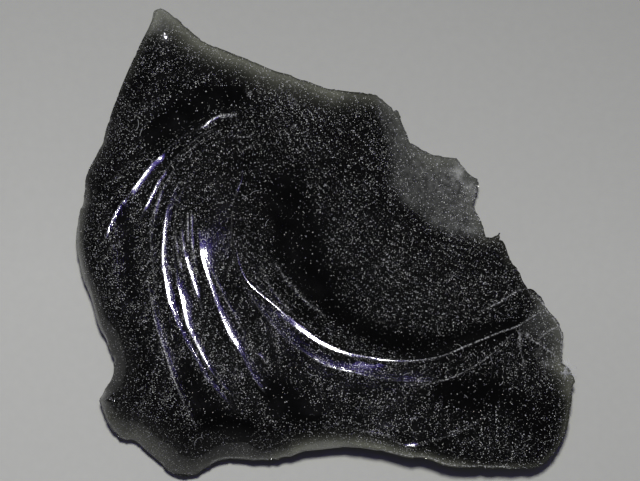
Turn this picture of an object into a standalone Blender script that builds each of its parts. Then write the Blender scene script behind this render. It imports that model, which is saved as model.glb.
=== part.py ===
"""A chunk of obsidian: one knapped piece of volcanic glass, about 60 x 57 x 10 mm.

The stone lies with its rippled face up. +X is its right-hand side, +Y its pointed end, +Z up.
The origin is the middle of its box, on the surface that it rests on. Lengths are in millimetres
until the mesh is finished, and MM turns them into metres.

The piece starts as a filled outline. A lattice of straight cuts divides its two faces, and each
point is then lifted to the height of the rippled face or of the flaked underside.
"""

import math

import bmesh
import bpy
import numpy as np

MM = 0.001
NODE = "obsidian_chunk"

# Mesh
LATTICE = 0.62  # spacing of the cuts
BLANK = 1.0  # thickness of the filled outline before its faces are shaped
CURVE_STEPS = 4  # spans between two points of the outline or of a crest
LATTICE_SHIFT = 0.37  # share of a spacing that keeps the cuts off the outline's own points
SAME_PLACE = 1e-4  # points closer than this are one point
ON_CUT = 1e-5  # points closer than this to a cut lie on it
FACES_KEPT = 0.30  # share of the triangles left where the surface is nearly flat

# Rippled face
FACE_HEIGHT = 10.0  # at the middle of the dome
RISE_TO_BACK = -0.024  # fall of the face towards the pointed end, per mm
DISH_RADIUS = 315.0  # the very gentle hollow of the whole face
DOME_MIDDLE = (3.0, -4.0)
DOME_SLOPE = 0.13  # fall of the dome away from its middle
DOME_CROWN = 7.0  # radius over which its top is rounded
FOLD_X = 11.0  # east of this line the face falls away faster
FOLD_SLOPE = 0.10
FOLD_WIDTH = 4.0

# Hollow inside the lip
HOLLOW_HEIGHT = 8.0
HOLLOW_SLOPE = (0.11, 0.096)  # fall towards +X and +Y
LIP_REACH = 1.3  # length over which the wall under the lip dies out
LIP_SHARP = 0.14  # rounding of the lip where it is crisp
LIP_SOFT = 3.0  # rounding of the lip where it is worn away

# Underside
RIM_THICKNESS = 0.35
RIM_WEDGE = 0.45  # least growth of thickness inwards from the rim
BASE_HEIGHT = 0.0  # the flat facet that the stone rests on

# Right-hand turns along the outline run clockwise. The third value marks a sharp corner.
OUTLINE = [
    (-19.80, 28.32, 1), (-18.84, 27.72, 0), (-17.28, 26.28, 0), (-15.00, 24.24, 0),
    (-11.76, 22.68, 0), (-9.00, 21.60, 0), (-5.88, 20.28, 0), (-4.20, 19.86, 0),
    (-2.04, 19.08, 0), (0.84, 18.24, 0), (3.00, 17.88, 0), (5.16, 17.70, 0),
    (6.48, 17.40, 0), (7.56, 16.68, 0), (8.40, 15.72, 1), (8.76, 15.78, 0),
    (9.12, 15.36, 0), (9.30, 14.52, 0), (9.84, 13.20, 0), (10.44, 11.76, 1),
    (12.00, 10.92, 0), (13.80, 10.20, 0), (15.36, 10.08, 0), (15.96, 9.96, 1),
    (16.80, 8.76, 0), (18.00, 7.80, 0), (18.60, 7.20, 0), (18.66, 6.48, 0),
    (18.24, 5.40, 0), (18.00, 4.08, 0), (18.60, 2.76, 0), (19.20, 1.20, 0),
    (19.44, 0.36, 1), (20.16, 0.30, 0), (21.06, 0.96, 1), (21.12, 0.36, 0),
    (20.94, 0.00, 1), (21.60, -0.30, 0), (21.96, -1.08, 0), (22.20, -2.40, 1),
    (23.16, -3.60, 0), (23.88, -4.92, 0), (24.36, -5.88, 1), (24.72, -5.82, 0),
    (25.92, -6.96, 0), (26.52, -8.16, 0), (27.72, -9.60, 0), (28.50, -11.16, 0),
    (28.50, -12.96, 0), (28.38, -14.76, 1), (29.04, -15.24, 0), (30.00, -17.04, 1),
    (29.58, -17.76, 0), (29.40, -19.44, 0), (29.04, -21.60, 0), (28.32, -24.00, 0),
    (26.88, -25.92, 0), (25.44, -27.00, 0), (22.44, -27.30, 0), (18.60, -27.18, 0),
    (14.64, -27.00, 0), (12.24, -26.22, 0), (10.32, -26.04, 0), (6.60, -25.20, 0),
    (3.24, -24.78, 0), (-0.36, -25.08, 0), (-2.64, -25.38, 0), (-4.68, -26.16, 0),
    (-7.56, -26.46, 0), (-10.20, -26.28, 0), (-12.36, -26.40, 0), (-14.04, -27.24, 0),
    (-15.84, -28.26, 0), (-18.36, -27.96, 0), (-20.04, -26.52, 0), (-21.96, -24.84, 0),
    (-23.04, -24.06, 0), (-24.36, -23.94, 0), (-25.56, -22.80, 0), (-26.04, -21.84, 0),
    (-26.76, -20.52, 0), (-27.06, -19.20, 0), (-26.64, -18.18, 1), (-25.68, -16.80, 0),
    (-25.32, -15.24, 0), (-25.74, -13.32, 0), (-27.12, -10.44, 0), (-28.08, -6.96, 0),
    (-29.22, -4.44, 0), (-29.88, -1.80, 0), (-29.88, 0.60, 0), (-29.46, 3.24, 0),
    (-28.86, 5.64, 0), (-28.62, 7.68, 0), (-27.12, 10.80, 0), (-25.92, 14.40, 0),
    (-24.12, 19.20, 0), (-22.56, 22.80, 0), (-20.88, 26.52, 0), (-20.46, 27.96, 0),
]

# The lip runs from the pointed end round the hollow to the right-hand rim, hollow on its left.
LIP = [
    (-13.8, 26.0), (-11.6, 19.2), (-10.2, 13.2), (-9.7, 7.7), (-10.3, 5.8), (-10.9, 3.4), (-11.0, 1.0),
    (-10.9, -1.2), (-10.4, -3.4), (-9.5, -5.3), (-7.9, -6.9), (-5.8, -8.4), (-3.6, -10.0), (-1.2, -11.8),
    (1.2, -13.0), (3.6, -13.8), (6.6, -14.3), (10.3, -14.5), (13.8, -13.9), (17.4, -12.4), (21.0, -11.2),
    (23.2, -10.2), (25.9, -8.5), (28.8, -6.8),
]
LIP_WORN_TO = 0.38  # share of the lip that is worn away at its start
LIP_CRISP_FROM = 0.62

# Each ripple: height, width on the hollow's side, width on the outer side, where it has
# swelled and where it starts to die out as shares of its length, and its crest.
RIPPLES = {
    "outer": (0.20, 0.95, 0.30, 0.30, 0.75, [
        (-10.8, 15.0), (-13.2, 14.6), (-15.0, 13.2), (-16.8, 12.2), (-19.8, 9.8), (-21.6, 8.4),
        (-23.0, 6.6), (-24.0, 5.2), (-25.7, 1.8), (-26.2, 0.2),
    ]),
    "outer second": (0.07, 0.40, 0.20, 0.40, 0.80, [
        (-12.6, 13.4), (-14.4, 12.6), (-16.2, 11.8), (-17.6, 10.2), (-18.8, 9.0), (-19.8, 7.4),
        (-20.8, 5.6), (-22.0, 3.2),
    ]),
    "outer third": (0.06, 0.40, 0.20, 0.30, 0.70, [
        (-12.4, 13.0), (-15.0, 11.6), (-17.4, 9.6), (-18.6, 7.8), (-19.4, 6.0), (-20.2, 4.2),
        (-20.8, 0.0), (-20.4, -4.8),
    ]),
    "long": (0.17, 0.75, 0.25, 0.25, 0.75, [
        (-17.2, 7.8), (-18.6, 5.2), (-19.2, 2.2), (-19.6, -1.2), (-19.3, -3.6), (-18.2, -7.8),
        (-16.2, -12.2), (-13.2, -16.6), (-11.6, -18.6), (-10.2, -20.0),
    ]),
    "long second": (0.04, 0.30, 0.20, 0.30, 0.70, [
        (-16.9, 6.2), (-17.9, 2.4), (-18.0, 0.0), (-17.0, -4.2), (-16.2, -6.0),
    ]),
    "middle short": (0.09, 0.50, 0.20, 0.30, 0.70, [
        (-17.6, -4.6), (-17.2, -7.2), (-16.6, -9.4), (-14.6, -13.4), (-13.4, -15.6),
    ]),
    "middle upper": (0.10, 0.50, 0.22, 0.40, 0.70, [
        (-16.6, 1.2), (-16.2, -3.0), (-15.0, -7.2),
    ]),
    "middle top": (0.05, 0.40, 0.20, 0.30, 0.70, [
        (-16.1, 3.0), (-16.0, 1.0), (-15.6, -1.2),
    ]),
    "broad": (0.19, 0.90, 0.28, 0.25, 0.80, [
        (-15.2, 1.8), (-14.6, -2.6), (-13.4, -6.0), (-11.6, -9.6), (-9.8, -13.0), (-8.2, -16.6),
        (-6.8, -18.6),
    ]),
    "lip companion": (0.07, 0.35, 0.30, 0.30, 0.80, [
        (-10.2, 7.2), (-11.0, 2.4), (-10.6, -2.4), (-8.4, -7.2), (-5.0, -11.4), (-0.6, -14.6),
        (4.2, -16.2), (11.4, -16.6), (15.6, -16.1), (20.4, -13.2),
    ]),
    "left lower": (0.10, 0.90, 0.50, 0.30, 0.70, [
        (-21.0, -4.8), (-19.2, -12.6), (-17.4, -17.4), (-15.0, -22.8),
    ]),
    "hollow floor": (0.03, 0.25, 0.20, 0.30, 0.70, [
        (-5.6, -3.5), (-4.2, -5.4), (-2.6, -7.2), (0.4, -9.4),
    ]),
    "near edge": (0.12, 0.60, 0.25, 0.30, 0.70, [
        (2.4, -22.1), (5.4, -22.8), (9.0, -23.8), (10.2, -24.1), (12.0, -24.0), (15.6, -23.2),
    ]),
    "corner nub": (0.22, 0.60, 0.45, 0.40, 0.60, [
        (-27.4, -19.9), (-26.4, -19.2), (-25.2, -18.9), (-24.2, -19.2),
    ]),
    "left swell": (0.18, 2.20, 1.60, 0.50, 0.50, [
        (-24.4, 7.2), (-25.2, 0.0), (-25.1, -3.6), (-23.6, -12.0),
    ]),
}
RIPPLE_TAIL = 3.5  # widths from a crest at which a ripple has ended
TAIL_STARTS = 0.6  # share of that distance at which it starts to end

# Each scar on the face: depth, length over which it deepens, and its edge, scar on the left.
FACE_SCARS = {
    "thin notch": (0.50, 1.6, [
        (4.4, 21.5), (6.0, 16.0), (7.2, 12.0), (8.4, 6.6), (9.6, 4.2), (12.6, 1.8), (15.6, 0.4),
        (19.4, 0.3), (21.6, 0.2),
    ]),
    "right corner": (0.40, 1.2, [
        (22.7, -10.6), (24.6, -12.0), (26.4, -13.2), (27.7, -14.4), (29.6, -15.8),
    ]),
    "near bevel": (1.20, 0.9, [
        (13.8, -27.2), (9.6, -25.8), (5.4, -24.8), (0.6, -24.0), (-2.4, -24.7), (-4.8, -26.6),
    ]),
    "left bevel": (1.10, 0.8, [
        (-25.4, -14.4), (-26.5, -10.8), (-27.5, -7.6), (-28.8, -2.6), (-29.5, 2.2), (-29.3, 6.0),
    ]),
    "point": (0.80, 1.5, [(-22.6, 24.2), (-20.4, 24.6), (-18.8, 25.1), (-16.6, 26.6)]),
}
SCAR_LIMIT = 14.0  # a scar never reaches further than this from its edge
SCAR_END = 0.12  # share of its edge over which a scar starts and ends

# Where the face rolls down to the rim: places on the rim, with the drop and the width of the roll.
ROLLED_RIMS = [
    (-29.6, 1.0, 2.0, 2.6), (-28.0, -7.0, 2.4, 2.8), (-25.6, -14.0, 3.4, 4.5), (-26.8, -19.8, 3.6, 5.5),
    (-23.0, -24.2, 4.8, 6.5), (-18.0, -28.0, 5.2, 7.0), (-12.0, -26.4, 4.4, 6.0), (-6.0, -26.2, 3.4, 5.0),
    (-1.0, -25.0, 1.6, 4.0), (6.0, -25.2, 0.6, 3.0), (13.0, -26.6, 0.2, 3.0), (20.0, -27.2, 0.1, 3.0),
    (28.0, -24.0, 0.2, 3.0), (29.6, -16.6, 0.2, 3.0), (24.0, -5.0, 0.1, 3.0), (18.0, 3.0, 0.0, 3.0),
    (8.4, 15.6, 0.0, 3.0), (-4.0, 20.0, 0.2, 3.0), (-16.0, 25.6, 0.5, 3.0), (-19.8, 28.2, 0.8, 3.5),
    (-24.0, 19.0, 0.8, 3.0), (-27.2, 10.6, 1.4, 2.8),
]
PLACE_REACH = 1.0  # distance within which a single place decides the values alone
PLACE_FALL = 4.0  # power of the distance with which the weight of a place falls

# Each flake scar under the rim: the rim point where it starts, its outward heading in degrees,
# the radius of its hollow, and the slope with which it leaves the rim.
RIM_SCARS = [
    (-29.7, -1.0, 183, 24.0, 0.95), (-27.2, 10.6, 158, 20.0, 0.85), (-21.6, 25.0, 150, 18.0, 0.55),
    (-18.0, 27.0, 45, 17.0, 0.50), (-9.0, 21.6, 65, 24.0, 0.60), (1.0, 18.2, 78, 22.0, 0.65),
    (9.6, 14.0, 25, 26.0, 0.55), (17.6, 8.2, 48, 30.0, 0.30), (20.0, 0.4, 10, 24.0, 0.70),
    (25.6, -6.8, 38, 20.0, 0.80), (29.6, -17.0, 8, 19.0, 0.60), (28.6, -23.4, -25, 22.0, 0.90),
    (19.0, -27.2, -90, 26.0, 0.95), (6.6, -25.2, -78, 21.0, 0.90), (-1.4, -25.2, -95, 17.0, 0.55),
    (-12.0, -26.4, -95, 20.0, 0.80), (-18.0, -28.0, -110, 18.0, 0.55), (-25.0, -23.4, -138, 17.0, 0.55),
    (-26.4, -12.0, 192, 20.0, 0.95),
]

# The broad facets between the rim scars and the resting face: middle, crown height, radius.
BROAD_SCARS = [
    (4.0, 38.0, 7.5, 80.0), (-47.0, 10.0, 7.5, 80.0), (46.0, -24.0, 7.0, 86.0), (-2.0, -56.0, 7.0, 80.0),
    (-38.0, -36.0, 6.0, 70.0),
]

STONE_COLOUR = (0.010, 0.010, 0.011, 1.0)
STONE_ROUGHNESS = 0.09
STONE_INDEX = 1.49


def ramp(start, end, value):
    """0 before start, 1 after end, and a smooth rise between them."""
    share = np.clip((value - start) / (end - start), 0.0, 1.0)
    return share * share * (3.0 - 2.0 * share)


def smooth_line(points, steps=CURVE_STEPS):
    """The points of a smooth curve through the given ones."""
    points = np.array(points, float)
    before = np.vstack([2 * points[0] - points[1], points[:-2]])
    after = np.vstack([points[2:], 2 * points[-1] - points[-2]])
    line = []
    for p0, p1, p2, p3 in zip(before, points[:-1], points[1:], after):
        for step in range(steps):
            t = step / steps
            line.append(0.5 * (2 * p1 + (p2 - p0) * t + (2 * p0 - 5 * p1 + 4 * p2 - p3) * t**2
                               + (3 * p1 - p0 - 3 * p2 + p3) * t**3))
    line.append(points[-1])
    return np.array(line)


def from_line(x, y, line):
    """Distance from a line, positive on its left, and the share of its length at the nearest point."""
    spans = np.diff(line, axis=0)
    lengths = np.hypot(*spans.T)
    starts = np.concatenate([[0.0], np.cumsum(lengths)])
    nearest = np.full(x.shape, np.inf)
    side = np.ones(x.shape)
    share = np.zeros(x.shape)
    for (px, py), (sx, sy), length, start in zip(line, spans, lengths, starts):
        t = np.clip(((x - px) * sx + (y - py) * sy) / length**2, 0.0, 1.0)
        gap = np.hypot(x - px - t * sx, y - py - t * sy)
        closer = gap < nearest
        nearest[closer] = gap[closer]
        side[closer] = np.where(sx * (y - py) - sy * (x - px) < 0.0, -1.0, 1.0)[closer]
        share[closer] = ((start + t * length) / starts[-1])[closer]
    return nearest * side, share


def lie_of_face(x, y):
    """The tilt and the very gentle hollow that the whole face shares."""
    return RISE_TO_BACK * y + (x * x + y * y) / (2.0 * DISH_RADIUS)


def dome(x, y):
    """The face outside the lip: a low dome that falls away faster east of the fold."""
    radius = np.hypot(x - DOME_MIDDLE[0], y - DOME_MIDDLE[1])
    crown = DOME_SLOPE * (np.hypot(radius, DOME_CROWN) - DOME_CROWN)
    fold = FOLD_SLOPE * (np.hypot(np.maximum(x - FOLD_X, 0.0), FOLD_WIDTH) - FOLD_WIDTH)
    return FACE_HEIGHT + lie_of_face(x, y) - crown - fold


def hollow(x, y):
    """The face inside the lip: one broad scar that falls towards the thin right-hand rim."""
    return HOLLOW_HEIGHT + lie_of_face(x, y) - HOLLOW_SLOPE[0] * x - HOLLOW_SLOPE[1] * y


def outside_lip(x, y):
    """1 outside the lip, dying out over the wall inside it."""
    gap, share = from_line(x, y, smooth_line(LIP))
    rounding = LIP_SHARP + (LIP_SOFT - LIP_SHARP) * (1.0 - ramp(LIP_WORN_TO, LIP_CRISP_FROM, share))
    inside = np.hypot(np.maximum(gap, 0.0), rounding) - rounding
    return np.exp(-inside / LIP_REACH)


def ripple(x, y, height, inner, outer, swelled, dying, crest):
    """A low ridge with a sharp crest, steep on its outer side and drawn out on the inner one."""
    gap, share = from_line(x, y, smooth_line(crest))
    away = np.abs(gap)
    tail = 1.0 - ramp(TAIL_STARTS * RIPPLE_TAIL * inner, RIPPLE_TAIL * inner, away)
    section = np.where(gap > 0.0, np.exp(-away / inner) * tail, np.exp(-((away / outer) ** 2)))
    return height * section * ramp(0.0, swelled, share) * (1.0 - ramp(dying, 1.0, share))


def face_scar(x, y, depth, reach, edge):
    """How far a scar lowers the face on the left of its edge."""
    gap, share = from_line(x, y, smooth_line(edge))
    beside = (gap > 0.0) & (gap < SCAR_LIMIT)
    ends = ramp(0.0, SCAR_END, share) * ramp(0.0, SCAR_END, 1.0 - share)
    return np.where(beside, -depth * ends * (1.0 - np.exp(-np.maximum(gap, 0.0) / reach)), 0.0)


def rim_line():
    """The outline as a closed smooth line."""
    points = [(x, y) for x, y, _ in OUTLINE]
    return smooth_line(points + points[:1])


def near_places(x, y, places):
    """The values that belong to a list of places, blended by which of them are nearest."""
    totals, weights = [0.0] * (len(places[0]) - 2), np.zeros(x.shape)
    for px, py, *values in places:
        weight = np.hypot(np.hypot(x - px, y - py), PLACE_REACH) ** -PLACE_FALL
        totals = [total + weight * value for total, value in zip(totals, values)]
        weights += weight
    return [total / weights for total in totals]


def rolled(x, y):
    """How far the face has rolled down towards the rim."""
    drop, width = near_places(x, y, ROLLED_RIMS)
    from_rim = np.abs(from_line(x, y, rim_line())[0])
    return drop * np.maximum(1.0 - from_rim / width, 0.0) ** 2


def face_height(x, y):
    """The rippled face."""
    floor = hollow(x, y)
    height = floor + (dome(x, y) - floor) * outside_lip(x, y)
    for values in RIPPLES.values():
        height = height + ripple(x, y, *values)
    for values in FACE_SCARS.values():
        height = height + face_scar(x, y, *values)
    return height - rolled(x, y)


def rim_scar(x, y, start, heading, radius, slope):
    """The hollow of one flake struck from the rim."""
    angle = math.atan(slope)
    out = math.radians(heading)
    middle_x = start[0] + radius * math.sin(angle) * math.cos(out)
    middle_y = start[1] + radius * math.sin(angle) * math.sin(out)
    edge = float(face_height(np.array([start[0]]), np.array([start[1]]))[0]) - RIM_THICKNESS
    below = radius**2 - (x - middle_x) ** 2 - (y - middle_y) ** 2
    return edge - radius * math.cos(angle) + np.sqrt(np.maximum(below, 0.0))


def underside_height(x, y, face):
    """The underside: rim scars, broad scars and the flat resting facet, whichever is highest."""
    height = np.full(x.shape, BASE_HEIGHT)
    for start_x, start_y, heading, radius, slope in RIM_SCARS:
        height = np.maximum(height, rim_scar(x, y, (start_x, start_y), heading, radius, slope))
    for middle_x, middle_y, crown, radius in BROAD_SCARS:
        below = radius**2 - (x - middle_x) ** 2 - (y - middle_y) ** 2
        height = np.maximum(height, crown - radius + np.sqrt(np.maximum(below, 0.0)))
    from_rim = np.abs(from_line(x, y, rim_line())[0])
    return np.maximum(np.minimum(height, face - RIM_THICKNESS - RIM_WEDGE * from_rim), BASE_HEIGHT)


def outline_curve():
    """The outline as a flat filled curve, BLANK thick."""
    curve = bpy.data.curves.new(NODE + "_outline", "CURVE")
    curve.dimensions = "2D"
    curve.fill_mode = "BOTH"
    curve.extrude = BLANK / 2.0
    curve.resolution_u = CURVE_STEPS
    spline = curve.splines.new("BEZIER")
    spline.bezier_points.add(len(OUTLINE) - 1)
    for point, (x, y, corner) in zip(spline.bezier_points, OUTLINE):
        point.co = (x, y, 0.0)
        point.handle_left_type = point.handle_right_type = "VECTOR" if corner else "AUTO"
    spline.use_cyclic_u = True
    outline = bpy.data.objects.new(NODE + "_outline", curve)
    bpy.context.scene.collection.objects.link(outline)
    return outline


def filled_outline():
    """The outline's solid as a bmesh with one face above and one below."""
    outline = outline_curve()
    graph = bpy.context.evaluated_depsgraph_get()
    flat = bpy.data.meshes.new_from_object(outline.evaluated_get(graph))
    bm = bmesh.new()
    bm.from_mesh(flat)
    bpy.data.objects.remove(outline)
    bpy.data.meshes.remove(flat)
    bmesh.ops.remove_doubles(bm, verts=bm.verts, dist=SAME_PLACE)
    for level in (BLANK / 2.0, -BLANK / 2.0):
        cap = [f for f in bm.faces if all(abs(v.co.z - level) < SAME_PLACE for v in f.verts)]
        bmesh.ops.dissolve_faces(bm, faces=cap, use_verts=False)
    bmesh.ops.recalc_face_normals(bm, faces=bm.faces)
    return bm


def cut_lattice(bm, spacing):
    """Divides the solid by upright planes, spacing apart, along X and along Y."""
    for axis in (0, 1):
        values = [v.co[axis] for v in bm.verts]
        first = math.floor(min(values) / spacing) + 1
        last = math.ceil(max(values) / spacing)
        normal = (1.0, 0.0, 0.0) if axis == 0 else (0.0, 1.0, 0.0)
        for step in range(first, last):
            place = [0.0, 0.0, 0.0]
            place[axis] = (step + LATTICE_SHIFT) * spacing
            everything = bm.verts[:] + bm.edges[:] + bm.faces[:]
            bmesh.ops.bisect_plane(bm, geom=everything, dist=ON_CUT, plane_co=place, plane_no=normal)


def shape_faces(bm):
    """Lifts the two flat faces to the rippled face and the underside."""
    x, y, level = np.array([v.co[:] for v in bm.verts], float).T
    face = face_height(x, y)
    under = underside_height(x, y, face)
    for vert, height in zip(bm.verts, np.where(level > 0.0, face, under)):
        vert.co.z = height


def stone_material():
    material = bpy.data.materials.new("obsidian")
    material.use_nodes = True
    shader = material.node_tree.nodes["Principled BSDF"]
    shader.inputs["Base Color"].default_value = STONE_COLOUR
    shader.inputs["Roughness"].default_value = STONE_ROUGHNESS
    shader.inputs["Metallic"].default_value = 0.0
    shader.inputs["IOR"].default_value = STONE_INDEX
    return material


def stone(collection):
    """The finished piece, with few triangles where it is smooth and many on its crests."""
    bm = filled_outline()
    cut_lattice(bm, LATTICE)
    shape_faces(bm)
    bmesh.ops.triangulate(bm, faces=bm.faces, quad_method="BEAUTY", ngon_method="BEAUTY")
    bmesh.ops.scale(bm, vec=(MM, MM, MM), verts=bm.verts)
    bmesh.ops.recalc_face_normals(bm, faces=bm.faces)
    mesh = bpy.data.meshes.new(NODE)
    bm.to_mesh(mesh)
    bm.free()
    mesh.materials.append(stone_material())
    piece = bpy.data.objects.new(NODE, mesh)
    collection.objects.link(piece)
    fewer = piece.modifiers.new("Fewer triangles", "DECIMATE")
    fewer.ratio = FACES_KEPT
    return piece


def main():
    for old in list(bpy.data.objects):
        bpy.data.objects.remove(old)
    bpy.context.scene.unit_settings.scale_length = 1.0
    collection = bpy.data.collections.new("Obsidian chunk")
    bpy.context.scene.collection.children.link(collection)
    stone(collection)


main()
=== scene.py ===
"""A chunk of obsidian: the finished stone, the dust and lint on it, and the plain stage around it.

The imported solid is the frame. The fine stone is cut from the same outline and lifted to the same
fracture face and underside as that solid, with ripples, nicks and dust that the solid leaves out.
Shapes are worked out in millimetres, in the frame's own axes, and MM turns them into metres.
"""

import functools
import math

import bmesh
import bpy
import numpy as np
from mathutils import Matrix, Vector


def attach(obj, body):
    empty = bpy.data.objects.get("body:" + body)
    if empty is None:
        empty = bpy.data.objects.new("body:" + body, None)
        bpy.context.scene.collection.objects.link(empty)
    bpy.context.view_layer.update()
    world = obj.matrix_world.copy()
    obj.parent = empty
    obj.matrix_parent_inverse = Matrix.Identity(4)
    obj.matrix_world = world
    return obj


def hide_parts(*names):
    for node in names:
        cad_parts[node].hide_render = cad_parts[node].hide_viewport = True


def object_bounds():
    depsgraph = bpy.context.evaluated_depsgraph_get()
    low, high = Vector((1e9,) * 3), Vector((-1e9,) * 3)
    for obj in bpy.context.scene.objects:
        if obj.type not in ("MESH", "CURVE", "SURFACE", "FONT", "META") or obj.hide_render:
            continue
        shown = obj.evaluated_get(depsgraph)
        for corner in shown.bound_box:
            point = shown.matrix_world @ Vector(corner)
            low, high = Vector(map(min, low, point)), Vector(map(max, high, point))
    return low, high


bl_info = {
    "name": "Obsidian Chunk",
    "version": (1, 0, 0),
    "blender": (4, 5, 0),
    "location": "3D View > Sidebar > Obsidian",
    "description": "Builds a knapped chunk of obsidian with its dust, lint and a plain stage",
    "category": "Add Mesh",
}

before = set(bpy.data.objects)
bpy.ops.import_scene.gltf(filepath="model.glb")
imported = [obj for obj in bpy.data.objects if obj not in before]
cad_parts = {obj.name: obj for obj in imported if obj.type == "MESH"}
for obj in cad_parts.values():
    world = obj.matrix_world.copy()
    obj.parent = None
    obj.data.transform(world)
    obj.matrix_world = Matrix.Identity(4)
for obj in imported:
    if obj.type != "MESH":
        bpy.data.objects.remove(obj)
CAD_LOW, CAD_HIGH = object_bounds()

MM = 0.001
NODE = "obsidian_chunk"

# ---------------------------------------------------------------- the stone's measures, in mm

CURVE_STEPS = 4  # spans between two points of the outline or of a crest
BLANK = 1.0  # thickness of the filled outline before its faces are shaped
LATTICE = 0.88  # spacing of the first cuts
LATTICE_SHIFT = 0.37  # how far the cuts lie off the axes, as a share of their spacing
SAME_PLACE = 0.0001  # corners closer together than this are one
ON_CUT = 0.00001  # corners closer to a cut than this lie on it
NEARLY_NOTHING = 0.000001  # keeps a division from failing where its divisor is 0

FACE_HEIGHT = 10.0  # the face at the middle of its dome
RISE_TO_BACK = -0.024  # fall of the face towards the pointed end, per mm
DISH_RADIUS = 315.0  # the very gentle hollow of the whole face
DOME_MIDDLE = (3.0, -4.0)
DOME_CROWN = 7.0  # radius over which the dome's top is rounded
FOLD_X = 11.0  # east of this line the face falls away faster
FOLD_SLOPE = 0.10
FOLD_WIDTH = 4.0

HOLLOW_HEIGHT = 8.0
HOLLOW_SLOPE = (0.11, 0.096)  # fall of the hollow towards +X and +Y
LIP_REACH = (0.09, 1.3)  # length over which the wall under the lip dies out, at its start and end
LIP_REACH_GROWS = (0.49, 0.57)  # shares of the lip between which that length grows
LIP_SOFT = 3.0  # rounding of the lip where it is worn away
LIP_WORN_TO = 0.18  # share of the lip that is worn away at its start
LIP_CRISP_FROM = 0.27
LIP_BAND = (-0.6, 1.0)  # the finest triangles reach this far outside and inside the lip

RIM_THICKNESS = 0.35
RIM_WEDGE = 0.45  # least growth of thickness inwards from the rim
RIM_LEAST = 0.1  # least thickness that a nick leaves
RIM_BAND = 0.55  # width of the fine band along the rim
RIM_STEP = 0.02  # distance over which the direction inwards is taken
EDGE_WIDTH = 0.24  # width of the dark line along the rim
BASE_HEIGHT = 0.0  # the flat facet that the stone rests on
BASE_DEEPEST = -1.0  # no scar is taken to run deeper than this under that facet

# Clockwise round the stone. The third value marks a sharp corner.
OUTLINE = [
    (-19.80, 28.32, 1), (-18.84, 27.72, 0), (-17.28, 26.28, 0), (-15.00, 24.24, 0),
    (-11.76, 22.68, 0), (-9.00, 21.60, 0), (-5.88, 20.28, 0), (-4.20, 19.86, 0),
    (-2.04, 19.08, 0), (0.84, 18.24, 0), (3.00, 17.88, 0), (5.16, 17.70, 0),
    (6.48, 17.40, 0), (7.56, 16.68, 0), (8.40, 15.72, 1), (8.76, 15.78, 0),
    (9.12, 15.36, 0), (9.30, 14.52, 0), (9.84, 13.20, 0), (10.44, 11.76, 1),
    (12.00, 10.92, 0), (13.80, 10.20, 0), (15.36, 10.08, 0), (15.96, 9.96, 1),
    (16.80, 8.76, 0), (18.00, 7.80, 0), (18.60, 7.20, 0), (18.66, 6.48, 0),
    (18.24, 5.40, 0), (18.00, 4.08, 0), (18.60, 2.76, 0), (19.20, 1.20, 0),
    (19.44, 0.36, 1), (20.16, 0.30, 0), (21.06, 0.96, 1), (21.12, 0.36, 0),
    (20.94, 0.00, 1), (21.60, -0.30, 0), (21.96, -1.08, 0), (22.20, -2.40, 1),
    (23.16, -3.60, 0), (23.88, -4.92, 0), (24.36, -5.88, 1), (24.72, -5.82, 0),
    (25.92, -6.96, 0), (26.52, -8.16, 0), (27.72, -9.60, 0), (28.50, -11.16, 0),
    (28.50, -12.96, 0), (28.38, -14.76, 1), (29.04, -15.24, 0), (30.00, -17.04, 1),
    (29.58, -17.76, 0), (29.40, -19.44, 0), (29.04, -21.60, 0), (28.32, -24.00, 0),
    (26.88, -25.92, 0), (25.44, -27.00, 0), (22.44, -27.30, 0), (18.60, -27.18, 0),
    (14.64, -27.00, 0), (12.24, -26.22, 0), (10.32, -26.04, 0), (6.60, -25.20, 0),
    (3.24, -24.78, 0), (-0.36, -25.08, 0), (-2.64, -25.38, 0), (-4.68, -26.16, 0),
    (-7.56, -26.46, 0), (-10.20, -26.28, 0), (-12.36, -26.40, 0), (-14.04, -27.24, 0),
    (-15.84, -28.26, 0), (-18.36, -27.96, 0), (-20.04, -26.52, 0), (-21.96, -24.84, 0),
    (-23.04, -24.06, 0), (-24.36, -23.94, 0), (-25.56, -22.80, 0), (-26.04, -21.84, 0),
    (-26.76, -20.52, 0), (-27.06, -19.20, 0), (-26.64, -18.18, 1), (-25.68, -16.80, 0),
    (-25.32, -15.24, 0), (-25.74, -13.32, 0), (-27.12, -10.44, 0), (-28.08, -6.96, 0),
    (-29.22, -4.44, 0), (-29.88, -1.80, 0), (-29.88, 0.60, 0), (-29.46, 3.24, 0),
    (-28.86, 5.64, 0), (-28.62, 7.68, 0), (-27.12, 10.80, 0), (-25.92, 14.40, 0),
    (-24.12, 19.20, 0), (-22.56, 22.80, 0), (-20.88, 26.52, 0), (-20.46, 27.96, 0),
]

# The lip runs from the pointed end round the hollow to the right-hand rim, hollow on its left.
LIP = [
    (-13.8, 26.0), (-11.6, 19.2), (-10.2, 13.2), (-9.7, 7.7), (-10.3, 5.8), (-10.9, 3.4), (-11.0, 1.0),
    (-10.9, -1.2), (-10.4, -3.4), (-9.5, -5.3), (-7.9, -6.9), (-5.8, -8.4), (-3.6, -10.0), (-1.2, -11.8),
    (1.2, -13.0), (3.6, -13.8), (6.6, -14.3), (10.3, -14.5), (13.8, -13.9), (17.4, -12.4), (21.0, -11.2),
    (23.2, -10.2), (25.9, -8.5), (28.8, -6.8),
]

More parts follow.
